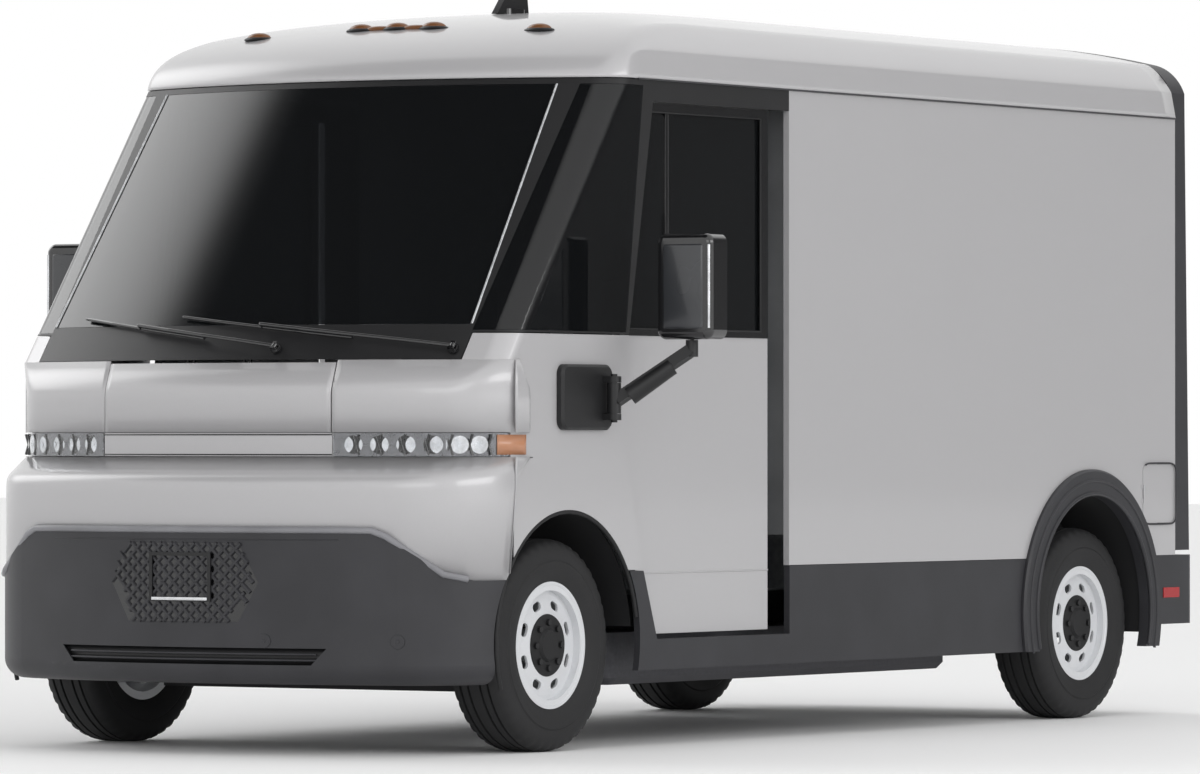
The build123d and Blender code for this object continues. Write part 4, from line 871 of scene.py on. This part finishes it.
# ================================================================ mirrors
def make_mirrors():
    """Mirror glass, glossy covers, sleeves on the arms and a bright strip that paints the highlight along the
    outer edge.
    """
    for side, sign in (("left", 1), ("right", -1)):
        low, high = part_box(f"mirror_head_{side}")
        body = f"mirror_head_{side}"
        glass = bmesh.new()
        rim = 0.022
        near = (low.x + rim, high.y - 0.009, low.z + rim)
        block(glass, near, (high.x - rim, high.y - 0.004, high.z - rim), 0.002)
        finish_piece(f"mirror_glass_{side}", glass, mirror_silver, body)
        cover = bmesh.new()
        near = (low.x + 0.03, low.y - 0.004, low.z + 0.035)
        block(cover, near, (high.x - 0.03, low.y + 0.02, high.z - 0.035), 0.012, 4)
        finish_piece(f"mirror_cover_{side}", cover, cover_grey, body)
        pin_low, pin_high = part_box(f"mirror_arm_{side}")
        inner = Vector((pin_low.x if sign > 0 else pin_high.x, pin_low.y, pin_low.z))
        root = Vector((inner.x + sign * 0.075, inner.y + 0.05, pin_low.z + 0.062))
        tip = Vector((low.x + (high.x - low.x) / 2, front_axle_y + 0.335, pin_low.z + 0.205))
        sleeve = bmesh.new()
        turned(sleeve, root, root.lerp(tip, 0.72), 0.034, 0.029, 20)
        finish_piece(f"mirror_arm_sleeve_{side}", sleeve, satin_black, f"mirror_arm_{side}")
        # bright strip on the mirror's outer edge: a painted highlight
        outer_x = high.x if sign > 0 else low.x
        strip = [(outer_x - sign * 0.012, low.y + 0.006, z) for z in (low.z + 0.04, high.z - 0.04)]
        bead(f"mirror_highlight_strip_{side}", strip, 0.006, painted_highlight_trim, body)


# ================================================================ tail
def make_tail():
    """Ribs, lock rod, handle, plate holder, brake lamp, camera, step tread and lamp bezels."""
    face_y = tail_y - 0.049
    for side, sign in (("left", 1), ("right", -1)):
        low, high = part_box(f"rear_door_{side}")
        body = f"rear_door_{side}"
        inner_x = sign * 0.0025
        leaf_out = sign * (body_half - 0.162)
        bm = bmesh.new()
        xs = sorted((inner_x + sign * 0.03, leaf_out))
        for z in (0.86, 1.45, 2.04):
            near = (xs[0] + 0.02, face_y - 0.001, z - 0.004)
            block(bm, near, (xs[1] - 0.02, face_y + 0.004, z + 0.004), 0.0015)
        finish_piece(f"rear_door_ribs_{side}", bm, body_paint, body)
        ring = bmesh.new()
        outer = [(xs[0], face_y, low.z + 0.02), (xs[1], face_y, low.z + 0.02), (xs[1], face_y, high.z - 0.02)]
        outer += [(xs[0], face_y, high.z - 0.02)]
        inner = [
            (x + (0.03 if x == xs[0] else -0.03), y, z + (0.03 if z < 1 else -0.03)) for x, y, z in outer
        ]
        flat_ring(ring, outer, inner, (0, 0.003, 0))
        finish_piece(f"rear_door_border_{side}", ring, body_paint, body)
    rod_x = 0.075
    rods = bmesh.new()
    turned(rods, (rod_x, face_y + 0.02, 0.78), (rod_x, face_y + 0.02, 2.26), 0.009, sides=16)
    for z in (0.82, 1.2, 1.75, 2.2):
        block(rods, (rod_x - 0.02, face_y, z - 0.018), (rod_x + 0.02, face_y + 0.03, z + 0.018), 0.004)
    finish_piece("rear_lock_rod", rods, nut_steel, "rear_door_left")
    handle = bmesh.new()
    block(handle, (rod_x + 0.02, face_y + 0.004, 1.16), (rod_x + 0.2, face_y + 0.012, 1.25), 0.008, 3)
    block(handle, (rod_x + 0.035, face_y + 0.012, 1.19), (rod_x + 0.185, face_y + 0.034, 1.216), 0.009, 3)
    finish_piece("rear_door_handle", handle, satin_black, "rear_door_left")
    holder = bmesh.new()
    block(holder, (-0.56, face_y, 0.93), (-0.24, face_y + 0.008, 1.11), 0.006, 3)
    finish_piece("plate_holder", holder, satin_black, "rear_door_right")
    blank = bmesh.new()
    block(blank, (-0.55, face_y + 0.007, 0.94), (-0.25, face_y + 0.0105, 1.10), 0.0015)
    finish_piece("blank_plate", blank, lining_panel, "rear_door_right")
    brake = bmesh.new()
    block(brake, (-0.22, face_y, 2.40), (0.22, face_y + 0.016, 2.435), 0.006, 3)
    finish_piece("high_brake_lamp", brake, lamp_red, "chassis")
    camera_pod = bmesh.new()
    block(camera_pod, (-0.05, face_y, 2.45), (0.05, face_y + 0.036, 2.5), 0.012, 3)
    turned(camera_pod, (0, face_y + 0.03, 2.468), (0, face_y + 0.042, 2.462), 0.012, 0.01, 20)
    finish_piece("rear_camera", camera_pod, satin_black, "chassis")
    step = bmesh.new()
    top_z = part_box("rear_bumper")[1].z
    for number in range(26):
        x = -0.75 + number * 0.06
        block(step, (x, tail_y - 0.30, top_z - 0.0005), (x + 0.034, tail_y - 0.05, top_z + 0.004), 0.0015, 1)
    finish_piece("rear_step_tread", step, nut_steel, "chassis")
    frames = bmesh.new()
    x = (body_half - 0.116, body_half - 0.024)
    outer = [(x[0], face_y, 1.04), (x[1], face_y, 1.04), (x[1], face_y, 1.41), (x[0], face_y, 1.41)]
    inner = [
        (a + (0.008 if a == x[0] else -0.008), b, c + (0.012 if c < 1.2 else -0.012)) for a, b, c in outer
    ]
    flat_ring(frames, outer, inner, (0, 0.012, 0))
    both_sides(frames)
    finish_piece("tail_lamp_bezels", frames, gloss_black, "chassis")


# ================================================================ driver's place
def make_cab_inside():
    """Instrument hood, screens, vents and pedals."""
    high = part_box("dashboard")[1]
    hub_low, hub_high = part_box("steering_wheel")
    wheel_x = (hub_low.x + hub_high.x) / 2
    face = high.y
    bm = bmesh.new()
    near = (wheel_x - 0.19, face - 0.12, high.z - 0.005)
    block(bm, near, (wheel_x + 0.19, face - 0.03, high.z + 0.09), 0.03, 4)
    finish_piece("instrument_hood", bm, dash_plastic, "chassis")
    screen = bmesh.new()
    near = (wheel_x - 0.16, face - 0.034, high.z + 0.008)
    block(screen, near, (wheel_x + 0.16, face - 0.024, high.z + 0.078), 0.006, 3)
    block(screen, (-0.06, face - 0.006, high.z - 0.17), (0.2, face + 0.012, high.z - 0.01), 0.008, 3)
    finish_piece("dash_screens", screen, gloss_black, "chassis")
    vents = bmesh.new()
    for x in (-0.62, -0.2, 0.72):
        for slat in range(5):
            z = high.z - 0.045 - slat * 0.014
            block(vents, (x - 0.07, face - 0.004, z), (x + 0.07, face + 0.008, z + 0.006), 0.0015, 1)
    finish_piece("dash_vents", vents, satin_black, "chassis")
    pedals = bmesh.new()
    for x in (wheel_x - 0.07, wheel_x + 0.09):
        near = (x - 0.035, front_axle_y + 0.30, 0.62)
        block(pedals, near, (x + 0.035, front_axle_y + 0.315, 0.72), 0.006, 3)
        turned(pedals, (x, front_axle_y + 0.29, 0.70), (x, front_axle_y + 0.19, 0.84), 0.008, sides=12)
    finish_piece("pedals", pedals, satin_black, "chassis")


channel_half = 0.014
pad_travel = 0.012


def padded_piece(node, seams):
    """Swell a seat pad by cloth simulation, then press its sewn channels in."""
    source = nodes[node]
    bm = bmesh.new()
    bm.from_mesh(source.data)
    bmesh.ops.remove_doubles(bm, verts=bm.verts, dist=1e-5)
    bmesh.ops.recalc_face_normals(bm, faces=bm.faces)
    low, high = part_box(node)
    centre = (low + high) / 2
    bmesh.ops.translate(bm, verts=bm.verts, vec=-centre)
    bmesh.ops.scale(bm, verts=bm.verts, vec=(0.955, 0.955, 0.93))
    bmesh.ops.translate(bm, verts=bm.verts, vec=centre)
    pad = finish_piece(f"{node}_pad", bm, seat_fabric, "driver_seat", 60)
    remesh = pad.modifiers.new("voxels", "REMESH")
    remesh.mode = "VOXEL"
    remesh.voxel_size = 0.009
    remesh.use_smooth_shade = True
    settle(pad)
    before = [vert.co.copy() for vert in pad.data.vertices]
    cloth = pad.modifiers.new("cloth", "CLOTH")
    cloth.settings.use_pressure = True
    cloth.settings.uniform_pressure_force = 4
    cloth.settings.effector_weights.gravity = 0
    cloth.point_cache.frame_end = 20
    for number in range(1, 21):
        scene.frame_set(number)
    settle(pad)
    scene.frame_set(1)
    for vert, was in zip(pad.data.vertices, before):
        moved = vert.co - was
        if moved.length > pad_travel:
            vert.co = was + moved.normalized() * pad_travel
    smooth = pad.modifiers.new("smooth", "SUBSURF")
    smooth.levels = smooth.render_levels = 1
    settle(pad)
    for vert in pad.data.vertices:
        off = vert.co - centre
        for axis, place, depth in seams:
            near = abs(off[axis] - place)
            if near < channel_half:
                vert.co -= vert.normal * depth * (1 - near / channel_half) ** 2
    pad.data.polygons.foreach_set("use_smooth", [True] * len(pad.data.polygons))
    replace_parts(pad, node)


def settle(piece):
    """Apply a piece's modifiers to its mesh."""
    evaluated = piece.evaluated_get(bpy.context.evaluated_depsgraph_get())
    shaped = bpy.data.meshes.new_from_object(evaluated)
    piece.modifiers.clear()
    old = piece.data
    piece.data = shaped
    bpy.data.meshes.remove(old)


def make_seat():
    """Padded cushion and back of the driver's seat."""
    low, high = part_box("seat_cushion")
    middle = (low + high) / 2
    for node, depth in (("seat_cushion", 0.006), ("seat_back", 0.006)):
        padded_piece(node, [(0, middle.x - 0.14, depth), (0, middle.x + 0.14, depth)])


# ================================================================ studio
def area_light(name, place, target, size, power):
    """Soft rectangular lamp aimed at a point."""
    light = bpy.data.lights.new(name, "AREA")
    light.shape = "RECTANGLE"
    light.size, light.size_y = size
    light.energy = power
    lamp = bpy.data.objects.new(name, light)
    lamp.location = place
    lamp.rotation_euler = (Vector(target) - Vector(place)).to_track_quat("-Z", "Y").to_euler()
    scene.collection.objects.link(lamp)


def by_direction(tree, direction, inner, outer, inside, outside):
    """A number that changes from inside a cone of directions to outside it; angles in degrees."""
    place = tree.nodes.new("ShaderNodeTexCoord")
    toward = tree.nodes.new("ShaderNodeVectorMath")
    toward.operation = "DOT_PRODUCT"
    toward.inputs[1].default_value = Vector(direction).normalized()
    tree.links.new(place.outputs["Generated"], toward.inputs[0])
    edge = tree.nodes.new("ShaderNodeMapRange")
    edge.interpolation_type = "SMOOTHSTEP"
    edge.inputs["From Min"].default_value = math.cos(math.radians(outer))
    edge.inputs["From Max"].default_value = math.cos(math.radians(inner))
    edge.inputs["To Min"].default_value = outside
    edge.inputs["To Max"].default_value = inside
    tree.links.new(toward.outputs["Value"], edge.inputs["Value"])
    return edge.outputs["Result"]


def build_studio():
    """Pale floor in a white room with two dark cards, a soft glow on the left and two lamps."""
    bm = bmesh.new()
    bmesh.ops.create_grid(bm, x_segments=1, y_segments=1, size=90)
    mesh = bpy.data.meshes.new("studio_floor")
    bm.to_mesh(mesh)
    bm.free()
    floor = bpy.data.objects.new("studio_floor", mesh)
    scene.collection.objects.link(floor)
    floor.data.materials.append(new_material("studio_floor", (0.93, 0.93, 0.93), 0.7))
    world = bpy.data.worlds.new("studio")
    world.use_nodes = True
    tree = world.node_tree
    background = tree.nodes["Background"]
    background.inputs["Color"].default_value = (1, 1, 1, 1)
    seen = tree.nodes.new("ShaderNodeLightPath")
    strength = by_direction(tree, (-0.3, -0.3, 0.85), 20, 32, 0.03, 1)
    for operation, other in (
        ("MULTIPLY", by_direction(tree, (0.54, 0.84, 0.12), 14, 34, 0.12, 1)),
        ("ADD", by_direction(tree, (-0.90, 0.14, 0.52), 0, 24, 1.9, 0)),
        ("MAXIMUM", seen.outputs["Is Camera Ray"]),
    ):
        step = tree.nodes.new("ShaderNodeMath")
        step.operation = operation
        tree.links.new(strength, step.inputs[0])
        tree.links.new(other, step.inputs[1])
        strength = step.outputs["Value"]
    tree.links.new(strength, background.inputs["Strength"])
    scene.world = world
    area_light("front_fill", (6, -13, 5), (0, -1, 1.2), (8, 5), 160)
    area_light("side_fill", (13, -2, 5), (0, 0, 1.2), (10, 5), 420)


def build_camera():
    """Long lens, low and to the left of the nose."""
    azimuth = math.radians(32.4516)
    pitch = math.radians(0.3951)
    eye = Vector((15.3782, front_axle_y - 22.3409, 1.0902))
    aim = Vector(
        (-math.sin(azimuth) * math.cos(pitch), math.cos(azimuth) * math.cos(pitch), math.sin(pitch))
    )
    data = bpy.data.cameras.new("camera")
    data.sensor_width = 36
    data.lens = 228.512
    data.clip_end = 300
    camera = bpy.data.objects.new("camera", data)
    camera.location = eye
    camera.rotation_euler = aim.to_track_quat("-Z", "Y").to_euler()
    scene.collection.objects.link(camera)
    scene.camera = camera


make_nose()
make_headlamps()
make_bumper()
make_roof()
make_wheels()
make_doors()
make_pillars()
make_side_trim()
make_mirrors()
make_tail()
make_cab_inside()
make_seat()
build_studio()
build_camera()
scene.view_settings.view_transform = "Standard"
